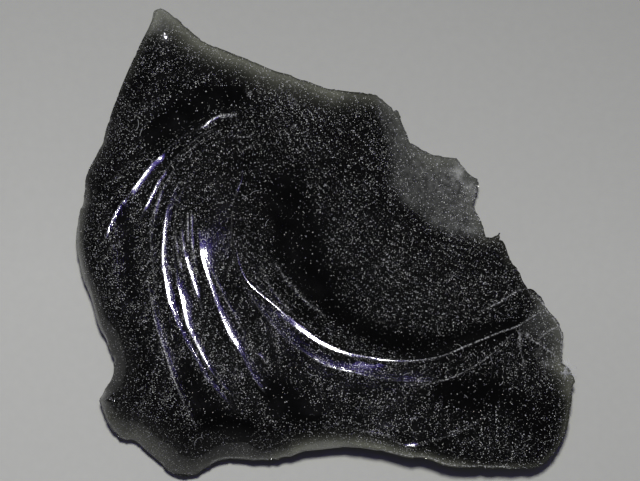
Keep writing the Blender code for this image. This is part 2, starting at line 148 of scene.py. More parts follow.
# Each ripple: slope of its inner flank, width of that flank and of its outer side, the shares of its
# length over which it rises and then dies, how much dust its crest holds, and its crest.
RIPPLES = {
    "outer": (0.158, 0.5, 0.22, (0.3, 0.42, 0.8, 0.9), 0.55, [
        (-15.98, 12.89), (-17.16, 12.14), (-18.22, 11.28), (-19.73, 9.8), (-20.81, 8.84), (-22.15, 7.03),
        (-23.34, 5.42), (-24.35, 3.91),
    ]),
    "outer low": (0.15, 0.24, 0.16, (0.02, 0.14, 0.8, 0.95), 0.6, [
        (-23.76, 4.92), (-24.48, 3.96), (-25.14, 2.76), (-25.68, 1.56), (-26.04, 0.48), (-26.22, -0.36),
    ]),
    "outer second": (0.148, 0.3, 0.18, (0.5, 0.6, 0.84, 0.92), 0.9, [
        (-12.67, 13.32), (-13.86, 12.89), (-14.8, 12.4), (-15.73, 11.66), (-16.31, 11.05), (-17.02, 10.56),
        (-18.08, 9.37), (-18.92, 8.17), (-19.76, 7.09), (-20.35, 5.9), (-21.1, 4.38), (-21.6, 3.32),
        (-22.22, 1.68),
    ]),
    "outer third": (0.07, 0.3, 0.16, (0.3, 0.5, 0.6, 0.8), 1, [
        (-12.36, 12.96), (-13.08, 12.72), (-13.92, 12.24), (-15, 11.52), (-16.2, 10.56), (-16.92, 9.84),
        (-17.64, 8.76), (-18.48, 7.44), (-19.32, 6), (-19.8, 4.8), (-20.28, 3.36), (-20.64, 1.92),
        (-20.7, -0.24), (-20.52, -1.92), (-20.33, -4.2), (-20.1, -6.24),
    ]),
    "outer fourth": (0.05, 0.22, 0.14, (0.3, 0.5, 0.6, 0.8), 0.8, [
        (-18.06, 8.28), (-18.96, 6.66), (-19.56, 5.64), (-19.92, 4.44), (-20.22, 2.88), (-20.4, 1.32),
        (-20.52, 0.24),
    ]),
    "long": (0.158, 0.38, 0.22, (0.12, 0.2, 0.46, 0.58), 0.4, [
        (-16.82, 8.04), (-17.27, 6.96), (-18.07, 5.64), (-18.46, 4.44), (-18.76, 3.6), (-19, 2.64),
        (-19.24, 0.6), (-19.36, -1.08), (-19.34, -3), (-19.03, -4.92), (-18.62, -7.2), (-18.16, -8.58),
        (-17.45, -10.26), (-16.58, -12), (-16, -13.02), (-15.13, -14.52), (-14.14, -16.44),
        (-12.95, -17.82), (-11.69, -19.32), (-10.25, -20.64),
    ]),
    "long second": (0.136, 0.3, 0.2, (0.4, 0.52, 0.76, 0.86), 0.8, [
        (-16.16, 7.68), (-16.76, 6.24), (-17.24, 5.16), (-17.54, 4.32), (-17.69, 3.36), (-17.82, 2.28),
        (-17.9, 1.08), (-17.95, -1.08), (-17.83, -2.64), (-17.64, -4.32), (-17.34, -6.06), (-16.87, -7.98),
        (-16.49, -9.78), (-15.92, -11.16), (-15.16, -12.66), (-14.33, -14.34), (-13.5, -15.66),
        (-12.49, -16.86), (-11.42, -18.18), (-9.88, -19.62),
    ]),
    "strand one": (0.135, 0.2, 0.14, (0.1, 0.3, 0.7, 0.9), 1.2, [
        (-17.64, 1.44), (-17.68, 0), (-17.52, -1.44), (-17.28, -2.88), (-16.92, -3.84), (-16.5, -4.92),
    ]),
    "strand two": (0.13, 0.18, 0.14, (0.1, 0.3, 0.7, 0.9), 1.2, [
        (-17.04, 2.16), (-16.98, 0.48), (-16.85, -0.96), (-16.62, -2.4), (-16.32, -3.84),
    ]),
    "middle": (0.156, 0.32, 0.2, (0.34, 0.44, 0.74, 0.82), 0.8, [
        (-17.16, 3.36), (-17.04, 1.68), (-16.92, 0), (-16.74, -1.44), (-16.44, -2.64), (-16.09, -3.84),
        (-15.62, -5.28), (-15.11, -6.84), (-14.58, -8.16), (-13.87, -9.72),
    ]),
    "middle top": (0.14, 0.22, 0.14, (0, 0.1, 0.7, 0.85), 1.5, [
        (-16.26, 3.36), (-16.26, 2.16), (-16.28, 0.96), (-16.25, -0.24), (-16.13, -1.44),
    ]),
    "middle edge": (0.13, 0.2, 0.14, (0, 0.1, 0.6, 0.8), 1.4, [
        (-15.84, 3.36), (-15.84, 1.68), (-15.8, 0), (-15.66, -1.44), (-15.36, -2.88), (-15, -4.32),
    ]),
    "broad": (0.166, 0.46, 0.24, (0.08, 0.16, 0.66, 0.76), 0.5, [
        (-15.19, 2.16), (-14.99, 0.24), (-14.76, -1.44), (-14.46, -3), (-14, -4.44), (-13.37, -6.3),
        (-12.77, -8.1), (-12.04, -9.9), (-11.3, -11.52), (-10.54, -12.72), (-9.7, -14.16), (-8.93, -15.6),
        (-7.8, -17.4), (-6.49, -18.84),
    ]),
    "broad second": (0.085, 0.26, 0.18, (0.2, 0.4, 0.6, 0.8), 1.1, [
        (-14.4, -0.84), (-13.92, -2.64), (-13.14, -4.56), (-12.48, -5.7), (-11.88, -7.08), (-11.09, -8.4),
        (-10.44, -9.6), (-9.36, -11.52), (-7.92, -13.44),
    ]),
    "cross": (0.145, 0.16, 0.12, (0.55, 0.68, 0.72, 0.85), 0.8, [
        (-10.2, -11.52), (-9, -12.78), (-8.28, -13.5), (-7.32, -14.22), (-6.42, -15.06),
    ]),
    "left lower": (0.045, 0.8, 0.4, (0.15, 0.35, 0.55, 0.8), 1.7, [
        (-21, -4.32), (-20.88, -6), (-20.52, -7.44), (-20.22, -9.3), (-19.8, -10.92), (-19.2, -12.72),
        (-18.6, -14.4), (-18, -16.2), (-17.22, -18.12), (-16.2, -20.4), (-15, -22.8),
    ]),
    "lip companion": (0.132, 0.15, 0.18, (0.545, 0.59, 0.68, 0.74), 0.7, [
        (-9.6, 7.44), (-10.2, 6.48), (-10.44, 5.52), (-10.73, 4.56), (-10.92, 3.12), (-11.04, 1.32),
        (-11.02, -0.24), (-10.68, -1.92), (-10.2, -3.6), (-9.48, -5.4), (-8.7, -6.72), (-7.8, -8.28),
        (-6.72, -9.6), (-5.64, -10.86), (-4.44, -12), (-3.12, -13.02), (-1.8, -13.92), (-0.6, -14.68),
        (0.72, -15.24), (2.4, -15.72), (4.56, -16.2), (6.6, -16.62), (9, -16.92), (12, -16.98),
        (15, -16.56), (17.16, -15.78),
    ]),
    "lip bright": (0.136, 0.32, 0.16, (0.08, 0.16, 0.66, 0.8), 0.5, [
        (-6.18, -8.7), (-4.92, -9.58), (-3.84, -10.32), (-2.64, -11.23), (-1.39, -12.08), (-0.24, -12.74),
        (1.04, -13.31), (2.28, -13.75), (3.53, -14.1), (5.04, -14.35), (6.58, -14.52), (8.52, -14.66),
        (10.32, -14.69), (12.36, -14.5), (14.4, -14.1),
    ]),
    "inner line": (0.06, 0.2, 0.14, (0.2, 0.4, 0.6, 0.8), 0.7, [
        (-7.56, -1.92), (-7.32, -3.3), (-6.48, -5.52), (-5.28, -7.2), (-4.2, -8.52), (-2.88, -9.84),
        (-1.08, -11.16),
    ]),
    "hollow floor": (0.1, 0.14, 0.12, (0.1, 0.3, 0.7, 0.9), 1, [
        (-6, -2.64), (-5.52, -3.48), (-4.92, -4.32), (-4.32, -5.1), (-3, -6.6), (-1.68, -7.92),
        (-0.6, -8.76), (0.36, -9.42),
    ]),
    "near edge": (0.25, 0.4, 0.22, (0.33, 0.4, 0.45, 0.52), 0.9, [
        (2.4, -21.96), (3.24, -22.44), (4.44, -22.86), (6, -23.16), (7.8, -23.58), (9.36, -24.54),
        (10.8, -24.6), (12.6, -24), (14.16, -23.58), (15.84, -22.92), (17.76, -21.96), (19.8, -20.64),
    ]),
    "near edge upper": (0.225, 0.14, 0.12, (0.1, 0.3, 0.7, 0.9), 0.9, [
        (3.96, -22.56), (4.92, -22.86), (6.12, -23.08), (7.32, -23.32), (8.52, -23.64),
    ]),
    "near edge second": (0.13, 0.22, 0.14, (0.2, 0.4, 0.6, 0.8), 0.4, [
        (8.52, -24.72), (9.24, -24.9), (10.08, -24.88), (10.92, -24.72),
    ]),
    "near rise": (0.045, 1.2, 0.9, (0.1, 0.4, 0.6, 0.9), 0.9, [
        (9, -17.28), (11.16, -17.34), (12.96, -17.16), (15, -16.56), (17.04, -15.6), (18.96, -14.4),
        (20.88, -12.84), (22.44, -11.16),
    ]),
    "bowl edge": (0.12, 0.12, 0.12, (0.1, 0.3, 0.7, 0.9), 1.6, [
        (18.36, -8.76), (19.2, -8.4), (20.04, -7.98), (21, -7.5), (21.96, -6.9), (22.8, -6.36), (23.64, -6),
        (24.6, -5.64),
    ]),
    "chip arc": (0.14, 0.16, 0.12, (0.05, 0.2, 0.8, 0.95), 1.8, [
        (-15.12, 12.96), (-14.76, 13.32), (-14.2, 13.68), (-14, 14), (-13.4, 14.4), (-12.6, 14.74),
        (-11.8, 14.9), (-10.92, 14.88), (-10.32, 14.7),
    ]),
    "facet down": (0.05, 0.14, 0.12, (0.1, 0.3, 0.7, 0.9), 0.9, [
        (23.22, -10.32), (23.2, -11.64), (23.28, -12.84), (23.52, -14.16), (23.82, -15.36),
    ]),
    "facet across": (0.11, 0.12, 0.12, (0.05, 0.2, 0.8, 0.95), 1.6, [
        (23.52, -11.04), (24.24, -11.7), (24.96, -12.2), (25.8, -12.72), (26.6, -13.3), (27.24, -13.86),
        (27.84, -14.5), (28.44, -15),
    ]),
    "facet up": (0.06, 0.12, 0.12, (0.1, 0.3, 0.7, 0.9), 1.2, [
        (25.4, -12.1), (25.92, -11.58), (26.4, -11.2), (27.24, -10.74), (28.08, -10.38),
    ]),
    "corner nub": (0.3, 0.62, 0.45, (0.2, 0.4, 0.6, 0.8), 0.2, [
        (-27.4, -19.9), (-26.4, -19.2), (-25.2, -18.9), (-24.2, -19.2),
    ]),
    "left swell": (0.025, 2.4, 1.6, (0.3, 0.5, 0.5, 0.7), 0, [
        (-24.4, 7.2), (-25.2, 0), (-25.1, -3.6), (-23.6, -12),
    ]),
}
RIPPLE_TAIL = 3.5  # widths from a crest at which a ripple has ended
RIPPLE_TAIL_STARTS = 0.5  # share of that distance at which it starts to end
RIPPLE_REST = 0.30  # share of its height that a ripple keeps beyond its swelled length
RIPPLE_BEND = 0.8  # widths of its flank over which the foot of a ripple bends
RIPPLE_END = 0.06  # share of its length over which a ripple starts and ends
CREST_WIDTH = 0.068  # half width of the dust on a crest
CREST_TAIL = 4.0  # half widths from a crest at which that dust has ended
CREST_REST = 0.40  # share of that dust which a ripple keeps beyond its swelled length
CREST_BAND = (1.7, 1.2)  # widths of its outer side and its flank that have the finest triangles
CREST_BAND_MOST = 0.5  # most that such a band is wide
CREST_NEAR = 1.0  # no place further than this from a crest is in its band
CREST_CUTS = 3  # cuts across each edge in the bands of the finest triangles

# Each scar on the face: depth, length over which it deepens, how frosted it is, and its edge,
# scar on the left.
FACE_SCARS = {
    "thin notch": (0.50, 1.6, 0.24, [
        (4.4, 21.5), (6.0, 16.0), (7.2, 12.0), (8.4, 6.6), (9.6, 4.2), (12.6, 1.8), (15.6, 0.4),
        (19.4, 0.3), (21.6, 0.2),
    ]),
    "right corner": (0.40, 1.2, 0.16, [
        (22.7, -10.6), (24.6, -12.0), (26.4, -13.2), (27.7, -14.4), (29.6, -15.8),
    ]),
    "near bevel": (1.20, 0.9, 0.90, [
        (13.8, -27.2), (9.6, -25.8), (5.4, -24.8), (0.6, -24.0), (-2.4, -24.7), (-4.8, -26.6),
    ]),
    "left bevel": (1.10, 0.8, 0.90, [
        (-25.4, -14.4), (-26.5, -10.8), (-27.5, -7.6), (-28.8, -2.6), (-29.5, 2.2), (-29.3, 6.0),
    ]),
    "point": (0.80, 1.5, 0.30, [(-22.6, 24.2), (-20.4, 24.6), (-18.8, 25.1), (-16.6, 26.6)]),
}
SCAR_LIMIT = 14.0  # a scar never reaches further than this from its edge
SCAR_END = 0.12  # share of its edge over which a scar starts and ends
FROST_REACH = 0.8  # length over which a scar's frosting sets in

# Where little dust lies: rows of places, each with the half width of the bare ground there.
BARE_ROWS = [
    [(-20.6, 12.4, 1.3), (-18.2, 14.6, 1.6), (-15.2, 16.2, 1.7), (-12.2, 17.2, 1.5), (-9.8, 17.6, 1.0)],
    [(-5.0, 6.0, 1.8), (-3.8, 3.0, 3.0), (-3.0, -0.8, 3.2), (-1.6, -4.2, 2.6), (1.4, -8.4, 1.7),
     (6.4, -11.6, 1.5), (12.4, -12.8, 1.7), (18.0, -11.8, 1.4), (23.0, -10.0, 0.9)],
    [(-16.8, -15.6, 1.2), (-15.0, -18.8, 1.8), (-13.0, -21.4, 1.8), (-9.6, -22.6, 1.5)],
    [(-6.6, -17.4, 1.2), (-4.0, -19.8, 1.6), (-1.0, -20.6, 1.2)],
    [(14.4, -18.0, 1.8), (17.4, -18.6, 2.4), (20.4, -18.2, 1.6)],
    [(22.8, -19.6, 1.8), (25.2, -21.4, 2.0), (26.6, -19.0, 1.4)],
    [(-24.4, 3.8, 0.9), (-23.4, -1.0, 1.0), (-22.8, -7.0, 0.9)],
]
BARE_SHARE = 0.88  # how much of the dust is missing there
DUST_LEAST = 0.16  # what is left in the barest places

# Where more pale dust is drawn, partly real dust and partly painted glow in place of light caught along the
# lip and the ripples: how much more, the half width, and the run.
DUST_AND_PAINTED_GLOW_ROWS = [
    (0.9, 1.1, [(7.0, 10.8), (7.9, 8.6), (8.8, 6.6), (10.0, 4.8), (11.8, 3.0), (13.6, 1.9)]),
    (1.2, 0.6, [(11.4, 2.3), (13.4, 1.4), (15.4, 0.8), (17.4, 0.6), (19.4, 0.6)]),
    (1.0, 0.9, [(-8.0, -4.0), (-7.2, -6.0), (-5.8, -8.0), (-4.0, -9.8), (-2.0, -11.4)]),
    (1.6, 0.5, [(-20.6, -6.6), (-20.1, -9.2), (-19.3, -12.0), (-18.4, -15.0), (-17.4, -18.0)]),
    (0.7, 0.8, [(-17.0, 3.6), (-16.4, 1.4), (-16.2, -0.8), (-15.8, -2.4)]),
    (0.8, 0.7, [(21.6, -13.4), (22.8, -15.0), (24.2, -15.8)]),
]
DUST_AND_PAINTED_GLOW_TAIL = 3.0  # half widths from a run at which its dust and painted glow have ended

# Round places with more or less dust than the rest: place, radius and gain.
DUST_SPOTS = [
    (2.4, 10.8, 5.0, -0.42), (-10.2, 8.4, 3.4, -0.32), (-2.1, 0.6, 3.5, -0.12),
    (9.6, -11.0, 4.5, -0.10), (-3.6, -19.8, 4.5, -0.25), (-15.0, 16.2, 5.0, -0.20),
    (26.0, -20.4, 3.2, 0.50), (-21.0, -18.0, 4.0, 0.20), (-25.0, -5.4, 3.5, 0.30),
    (-22.2, 14.4, 3.5, 0.15),
]

# Other worn lines: how pale they are, and their run. They are as pale over their WHOLE length.
WHOLE = (-2.0, -1.0, 2.0, 3.0)
WORN_LINES = [
    (1.6, [
        (14.6, -13.8), (17.0, -12.7), (19.0, -11.9), (21.0, -11.1), (23.0, -10.4), (24.6, -9.4),
        (26.0, -8.6),
    ]),
    (0.8, [(-0.6, -12.6), (3.0, -13.7), (6.6, -14.3), (10.3, -14.5), (13.0, -14.2), (15.0, -13.6)]),
    (1.8, [
        (24.2, -6.2), (25.8, -7.3), (26.5, -8.5), (27.6, -9.9), (28.35, -11.4), (28.35, -13.0),
        (28.25, -14.6),
    ]),
    (1.2, [
        (-29.3, 3.0), (-29.7, 0.5), (-29.6, -2.2), (-28.8, -5.0), (-27.8, -7.6), (-26.9, -10.4),
        (-25.7, -13.0),
    ]),
    (1.2, [(-14.0, -27.0), (-12.4, -26.2), (-9.8, -26.1), (-7.4, -26.3), (-4.8, -26.0), (-2.6, -25.2)]),
    (1.0, [(-26.5, -19.8), (-26.2, -21.0), (-25.4, -22.5), (-24.2, -23.6)]),
    (1.6, [(6.4, -25.0), (10.2, -25.8), (12.4, -26.0), (14.8, -26.8), (18.6, -27.0), (22.4, -27.1)]),
    (0.8, [(-12.6, 11.8), (-10.8, 12.1), (-8.6, 12.3), (-7.4, 12.6)]),
    (0.7, [(-9.6, 10.6), (-8.6, 11.0), (-7.6, 11.4)]),
    (1.2, [(-9.6, 18.4), (-9.0, 17.6), (-8.6, 16.9)]),
    (0.5, [(-5.6, 16.8), (-4.6, 17.4), (-3.7, 16.4), (-3.4, 14.6), (-3.9, 13.0), (-4.9, 12.8)]),
]

# What belongs to a place on the rim carries over to its neighbours, by how near they are.
PLACE_REACH = 1.0  # distance within which one place rules
PLACE_FALL = 2.0  # how fast its weight falls beyond that

# Where the face rolls down to the rim: places on the rim, with the drop and the width of the roll.
ROLLED_RIMS = [
    (-29.6, 1.0, 2.0, 2.6), (-28.0, -7.0, 2.4, 2.8), (-25.6, -14.0, 3.4, 4.5), (-26.8, -19.8, 3.6, 5.5),
    (-23.0, -24.2, 4.8, 6.5), (-18.0, -28.0, 5.2, 7.0), (-12.0, -26.4, 4.4, 6.0), (-6.0, -26.2, 3.4, 5.0),
    (-1.0, -25.0, 1.6, 4.0), (6.0, -25.2, 0.6, 3.0), (13.0, -26.6, 0.2, 3.0), (20.0, -27.2, 0.1, 3.0),
    (28.0, -24.0, 0.2, 3.0), (29.6, -16.6, 0.2, 3.0), (24.0, -5.0, 0.1, 3.0), (18.0, 3.0, 0.0, 3.0),
    (8.4, 15.6, 0.0, 3.0), (-4.0, 20.0, 0.2, 3.0), (-16.0, 25.6, 0.5, 3.0), (-19.8, 28.2, 0.8, 3.5),
    (-24.0, 19.0, 0.8, 3.0), (-27.2, 10.6, 1.4, 2.8),
]

# Small lumps near the rim: place, radius and height.
KNOBS = [
    (-25.9, -19.1, 0.90, 0.95), (-26.0, -21.6, 0.55, 0.30), (-24.9, -23.2, 0.50, 0.25),
    (-23.4, -23.6, 0.60, 0.25), (-21.4, -25.0, 0.70, 0.22), (-4.6, -25.7, 0.60, 0.20),
    (-19.9, 24.9, 0.55, 0.35), (-19.2, 25.0, 0.45, 0.25),
]

# Where the face is tilted a little: place, half widths along X and Y, and the rise along X and Y.
TILTS = [
    (-15.2, -3.8, 2.6, 6.0, -0.011, 0.043), (7.4, -14.5, 3.0, 0.55, 0.045, 0.0),
    (5.6, -23.0, 2.4, 0.8, 0.045, 0.0),
]

# How clear the glass is at places on the rim, and how far in that reaches.
CLEAR_RIMS = [
    (-19.8, 27.6, 0.9, 1.6), (-22.2, 23.0, 0.15, 0.5), (-25.0, 16.0, 0.10, 0.3),
    (-27.8, 9.0, 0.20, 0.3), (-29.4, 3.5, 0.7, 0.40), (-29.8, 0.0, 0.9, 0.50), (-28.6, -5.7, 0.7, 0.35),
    (-27.5, -9.0, 0.5, 0.30), (-26.0, -12.6, 0.2, 0.25), (-25.4, -16.0, 0.1, 0.3),
    (-26.8, -19.4, 0.25, 0.9), (-26.2, -21.6, 0.40, 1.2), (-25.0, -23.2, 0.40, 1.2),
    (-22.0, -24.8, 0.32, 1.6), (-19.0, -27.4, 0.20, 1.4), (-15.8, -28.2, 0.18, 1.0),
    (-12.4, -26.4, 0.3, 0.4), (-8.0, -26.4, 0.4, 0.4), (-4.7, -26.2, 0.8, 0.7), (-2.4, -25.2, 1.2, 1.0),
    (0.0, -24.8, 1.2, 1.0), (3.2, -24.8, 1.1, 0.8), (7.0, -25.4, 0.9, 0.7), (13.0, -26.6, 0.9, 0.5),
    (20.0, -27.2, 0.4, 0.35), (26.6, -26.0, 0.3, 0.35), (29.2, -20.6, 0.4, 0.45),
    (29.6, -17.0, 0.75, 1.3), (28.4, -12.0, 0.28, 1.2), (26.4, -8.0, 0.25, 0.8),
    (24.0, -5.0, 0.12, 0.4), (21.6, -0.6, 0.2, 0.5), (18.6, 2.0, 0.22, 1.0), (18.4, 7.0, 0.30, 1.2),
    (13.4, 10.4, 0.35, 1.6), (9.8, 13.2, 0.2, 0.8), (8.4, 15.6, 0.35, 0.7), (5.0, 17.6, 0.35, 1.2),
    (0.0, 18.6, 0.6, 1.4), (-6.0, 20.4, 0.75, 1.4), (-12.0, 22.8, 0.75, 1.3), (-16.6, 25.6, 0.85, 1.3),
]
CLEAR_FALL = 1.6  # how squarely the clear margin ends

# Bruised spots on the thin pieces: place, radius and how frosted they are.
FROST_SPOTS = [
    (16.2, 8.0, 0.9, 0.40), (17.4, 6.6, 0.7, 0.25), (13.6, 2.2, 0.8, 0.20), (15.6, 1.4, 0.7, 0.24),
    (17.6, 1.1, 0.7, 0.30), (8.8, 7.0, 0.9, 0.16), (10.0, 5.0, 0.8, 0.16), (26.4, -14.8, 0.6, 0.30),
    (25.4, -13.6, 0.5, 0.18), (-19.2, 24.4, 0.7, 0.20),
]

# The run of the stress lines across the face: crests by name, with their order in millimetres.
FLOW = {
    "left swell": 1.4, "left lower": 5.4, "long": 7.0, "long second": 8.6, "broad": 12.0,
    "lip companion": 16.2, "inner line": 20.2,
}
FLOW_NEAR = 0.3  # distance within which one line rules
FLOW_FALL = 1.5  # how fast its weight falls beyond that
FLOW_END = 0.12  # share of its length over which a line takes hold
FLOW_REACH = 2.6  # distance over which the fine lines die out

NICK_WIDTHS = (0.15, 0.9)
NICK_DEPTHS = (0.03, 0.22)
NICK_DRAW = 7  # seed of the draw that places the nicks

# Each flake scar under the rim: the rim point where it starts, its outward heading in degrees,
# the radius of its hollow, and the slope with which it leaves the rim.
RIM_SCARS = [
    (-29.7, -1.0, 183, 24.0, 0.95), (-27.2, 10.6, 158, 20.0, 0.85), (-21.6, 25.0, 150, 18.0, 0.55),
    (-18.0, 27.0, 45, 17.0, 0.50), (-9.0, 21.6, 65, 24.0, 0.60), (1.0, 18.2, 78, 22.0, 0.65),
    (9.6, 14.0, 25, 26.0, 0.55), (17.6, 8.2, 48, 30.0, 0.30), (20.0, 0.4, 10, 24.0, 0.70),
    (25.6, -6.8, 38, 20.0, 0.80), (29.6, -17.0, 8, 19.0, 0.60), (28.6, -23.4, -25, 22.0, 0.90),
    (19.0, -27.2, -90, 26.0, 0.95), (6.6, -25.2, -78, 21.0, 0.90), (-1.4, -25.2, -95, 17.0, 0.55),
    (-12.0, -26.4, -95, 20.0, 0.80), (-18.0, -28.0, -110, 18.0, 0.55), (-25.0, -23.4, -138, 17.0, 0.55),
    (-26.4, -12.0, 192, 20.0, 0.95),
]

# The broad facets between the rim scars and the resting face: middle, crown height, radius.
BROAD_SCARS = [
    (4.0, 38.0, 7.5, 80.0), (-47.0, 10.0, 7.5, 80.0), (46.0, -24.0, 7.0, 86.0), (-2.0, -56.0, 7.0, 80.0),
    (-38.0, -36.0, 6.0, 70.0),
]
ARRIS_GAP = 0.20  # two scars whose heights differ by less than this are close to their arris

# Fibres of lint that are plain to see: place, heading in degrees, length and turn in degrees.
LONG_FIBRES = [
    (-22.6, 13.0, 40, 1.5, 80), (-8.8, 5.2, 62, 1.2, -70), (-9.1, 4.6, 100, 1.0, 90),
    (3.0, -0.6, 20, 1.3, 120), (-19.6, -19.0, 330, 2.2, 95), (-14.4, -23.6, 170, 1.6, 110),
    (-0.8, -16.2, 205, 1.4, -90), (13.5, -10.4, 250, 1.3, 80), (15.4, -12.6, 15, 1.6, -110),
    (-19.9, -13.9, 300, 1.1, 60), (-11.8, -15.4, 120, 1.2, 100), (5.2, 8.6, 75, 1.0, -60),
]
FIBRE_LENGTHS = (0.35, 1.1)
FIBRE_TURN = 110.0  # most that a short fibre turns, in degrees
FIBRE_RADII = (0.010, 0.017)
FIBRE_SPANS = 7
FIBRE_SIDES = 5
FIBRE_LIFT = 0.10  # how high a fibre arches off the face
FIBRE_DRAW = 23  # seed of the draw that scatters the fibres
THICKNESS_DRAW = 5  # seed of the draw of how thick each one is

# The tuft caught on the right-hand corner: its middle, half sizes, and number of fibres.
TUFT_MIDDLE = (28.9, -15.6)
TUFT_SIZE = (0.7, 1.0)
TUFT_SPREAD = 0.6  # share of that size over which its fibres start
TUFT_LENGTHS = (0.5, 1.3)
TUFT_TURN = 2.0 * FIBRE_TURN
TUFT_LIFT = 3.0 * FIBRE_LIFT
TUFT_FIBRES = 46

# ---------------------------------------------------------------- finishes, in metres

# Each size of speck in the dust: cells to a metre, radius as a share of a cell, share of the cells
# that hold one, and how unevenly bright they are.
SPECK_SIZES = [(9500.0, 0.50, 1.0, 2.6), (5200.0, 0.32, 0.5, 1.4), (2200.0, 0.17, 0.45, 0.9)]

# Each cloudy value: clouds to a metre, detail, the range of the noise, and what that becomes.
CLEAR_CLOUDS = (240.0, 3.0, 0.30, 0.72, 0.55, 1.25)
FROST_MOTTLE = (1500.0, 4.0, 0.32, 0.68, 0.45, 1.20)
DUST_PATCHES = (110.0, 3.0, 0.32, 0.68, 0.45, 1.25)
DUST_FILM = (16000.0, 1.0, 0.40, 0.74, 0.0, 0.012)
WORN_GRAINS = (5200.0, 3.0, 0.44, 0.62, 0.02, 0.50)
SMUDGES = (420.0, 4.0, 0.35, 0.70, 0.055, 0.10)
LINT_SHADES = (700.0, 2.0, 0.30, 0.70, 0.0, 1.0)
FLOOR_TOOTH = (900.0, 4.0, 0.30, 0.70, 0.97, 1.0)

LEVEL_GROUND = (0.12, 0.60)  # upward share of a face's normal at which dust starts and stops to lie
DARKEST_RIM = 0.25  # how clear the glass still is at its very rim
STREAK_SCALE = (7.0, 0.5)  # stress lines to a millimetre, across and along
STREAK_DETAIL = 3.0
STREAKY_DUST = (0.30, 0.70, 0.70, 1.20)  # from this strength of a line to that one, dust is so thick
TOOTH_SCALE = 8200.0  # grains of the glass's tooth to a metre
TOOTH_SHARE = 0.25  # height of the tooth beside that of the stress lines
TOOTH_DETAIL = 2.0
BUMP_HEIGHT = 0.000009
FROST_ROUGHNESS = 0.45
DUST_ROUGHNESS = 0.5
GLASS_IOR = 1.49
GLASS_TRANSMISSION = 0.35
GLASS_ABSORPTION = (0.42, 0.45, 0.36, 1.0)
GLASS_DENSITY = 900.0
LINT_COLOURS = ((0.38, 0.39, 0.42), (0.72, 0.73, 0.76))
LINT_ROUGHNESS = 0.75

STONE_ARRIS = math.radians(38.0)  # an edge that turns by more than this is sharp
LINT_ARRIS = math.radians(80.0)

# ---------------------------------------------------------------- stage, in metres

FLOOR_SIZE = 3.0
FLOOR_ROUGHNESS = 0.9
FLOOR_SPECULAR = 0.2
FLOOR_PAINTED_SHADE_X = (-0.036, 0.036, 1.0, 0.875)  # from this X to that one, painted shade darkens the floor so far
FLOOR_PAINTED_SHADE_Y = (-0.004, 0.030, 1.0, 0.81)  # and from this Y to that one, painted shade too
CAMERA_PLACE = (0.0022, -0.0160, 0.3000)
CAMERA_AIM = (-0.0005, -0.0002, 0.0080)
PICTURE_WIDTH = 0.0763  # seen at the stone's face
SENSOR = 36.0  # millimetres
KEY_PLACE = (0.0022, 0.0310, 0.3300)
KEY_SIZE = 0.022
KEY_COLOUR = (1.0, 1.0, 0.91)
HALO_SIZE = 0.092  # the wider, violet glow round the key light
HALO_SHARE = 0.12  # its power beside the key's
HALO_COLOUR = (0.22, 0.14, 1.0)
HORIZON = (0.15, 0.75)  # upward share of a direction where the fill starts and stops to fade
ZENITH_LEVEL = 0.02

# ---------------------------------------------------------------- what a user can change

class ObsidianStone(bpy.types.PropertyGroup):
    """Sizes of the fracture face."""

    dome_slope: bpy.props.FloatProperty(
        name="Dome slope", description="Fall of the face away from the middle of its dome",
        default=0.13, min=0.0, max=0.4)
    ripple_height: bpy.props.FloatProperty(
        name="Ripple height", description="Height of the ripples, as a share of their full height",
        default=1.0, min=0.0, max=2.0, subtype="FACTOR")
    lip_rounding: bpy.props.FloatProperty(
        name="Lip rounding", description="Rounding of the lip where it is crisp",
        default=0.10 * MM, min=0.0, unit="LENGTH", subtype="DISTANCE", precision=5)
    nicks: bpy.props.IntProperty(
        name="Nicks", description="Small chips broken from the rim", default=260, min=0, max=1000)


class ObsidianFinish(bpy.types.PropertyGroup):
    """Colours and wear of the glass."""

    body_colour: bpy.props.FloatVectorProperty(
        name="Body colour", description="Colour of the glass where it is thick",
        default=(0.0014, 0.0014, 0.0016), size=3, subtype="COLOR", min=0.0, max=1.0)
    thin_colour: bpy.props.FloatVectorProperty(
        name="Thin colour", description="Colour of the glass where light comes through it",
        default=(0.30, 0.31, 0.25), size=3, subtype="COLOR", min=0.0, max=1.0)
    frost_colour: bpy.props.FloatVectorProperty(
        name="Frost colour", description="Colour of the glass where it is frosted",
        default=(0.30, 0.31, 0.30), size=3, subtype="COLOR", min=0.0, max=1.0)
    dust_colour: bpy.props.FloatVectorProperty(
        name="Dust colour", description="Colour of the dust that lies on it",
        default=(0.80, 0.81, 0.84), size=3, subtype="COLOR", min=0.0, max=1.0)
    dust: bpy.props.FloatProperty(
        name="Dust", description="How much dust lies on the stone", default=0.8,
        min=0.0, max=1.0, subtype="FACTOR")
    lint: bpy.props.IntProperty(
        name="Lint", description="Number of short fibres on the face", default=26, min=0, max=200)


class ObsidianStage(bpy.types.PropertyGroup):
    """The plain floor and its light."""

    floor_colour: bpy.props.FloatVectorProperty(
        name="Floor colour", description="Colour of the plain floor",
        default=(0.475, 0.48, 0.468), size=3, subtype="COLOR", min=0.0, max=1.0)
    key_power: bpy.props.FloatProperty(
        name="Key power", description="Power of the small light above the stone",
        default=0.95, min=0.0, unit="POWER")
    fill_level: bpy.props.FloatProperty(
        name="Fill", description="Brightness of the surroundings at the horizon",
        default=0.12, min=0.0, max=5.0)


# ---------------------------------------------------------------- heights of the two faces

def ramp(start, end, value):
    """0 before start, 1 after end, and a smooth rise between them."""
    share = np.clip((value - start) / (end - start), 0.0, 1.0)
    return share * share * (3.0 - 2.0 * share)


def swell(share, shares):
    """1 over the middle of a ripple: it rises over the first two shares and dies over the last two."""
    return ramp(shares[0], shares[1], share) * (1.0 - ramp(shares[2], shares[3], share))


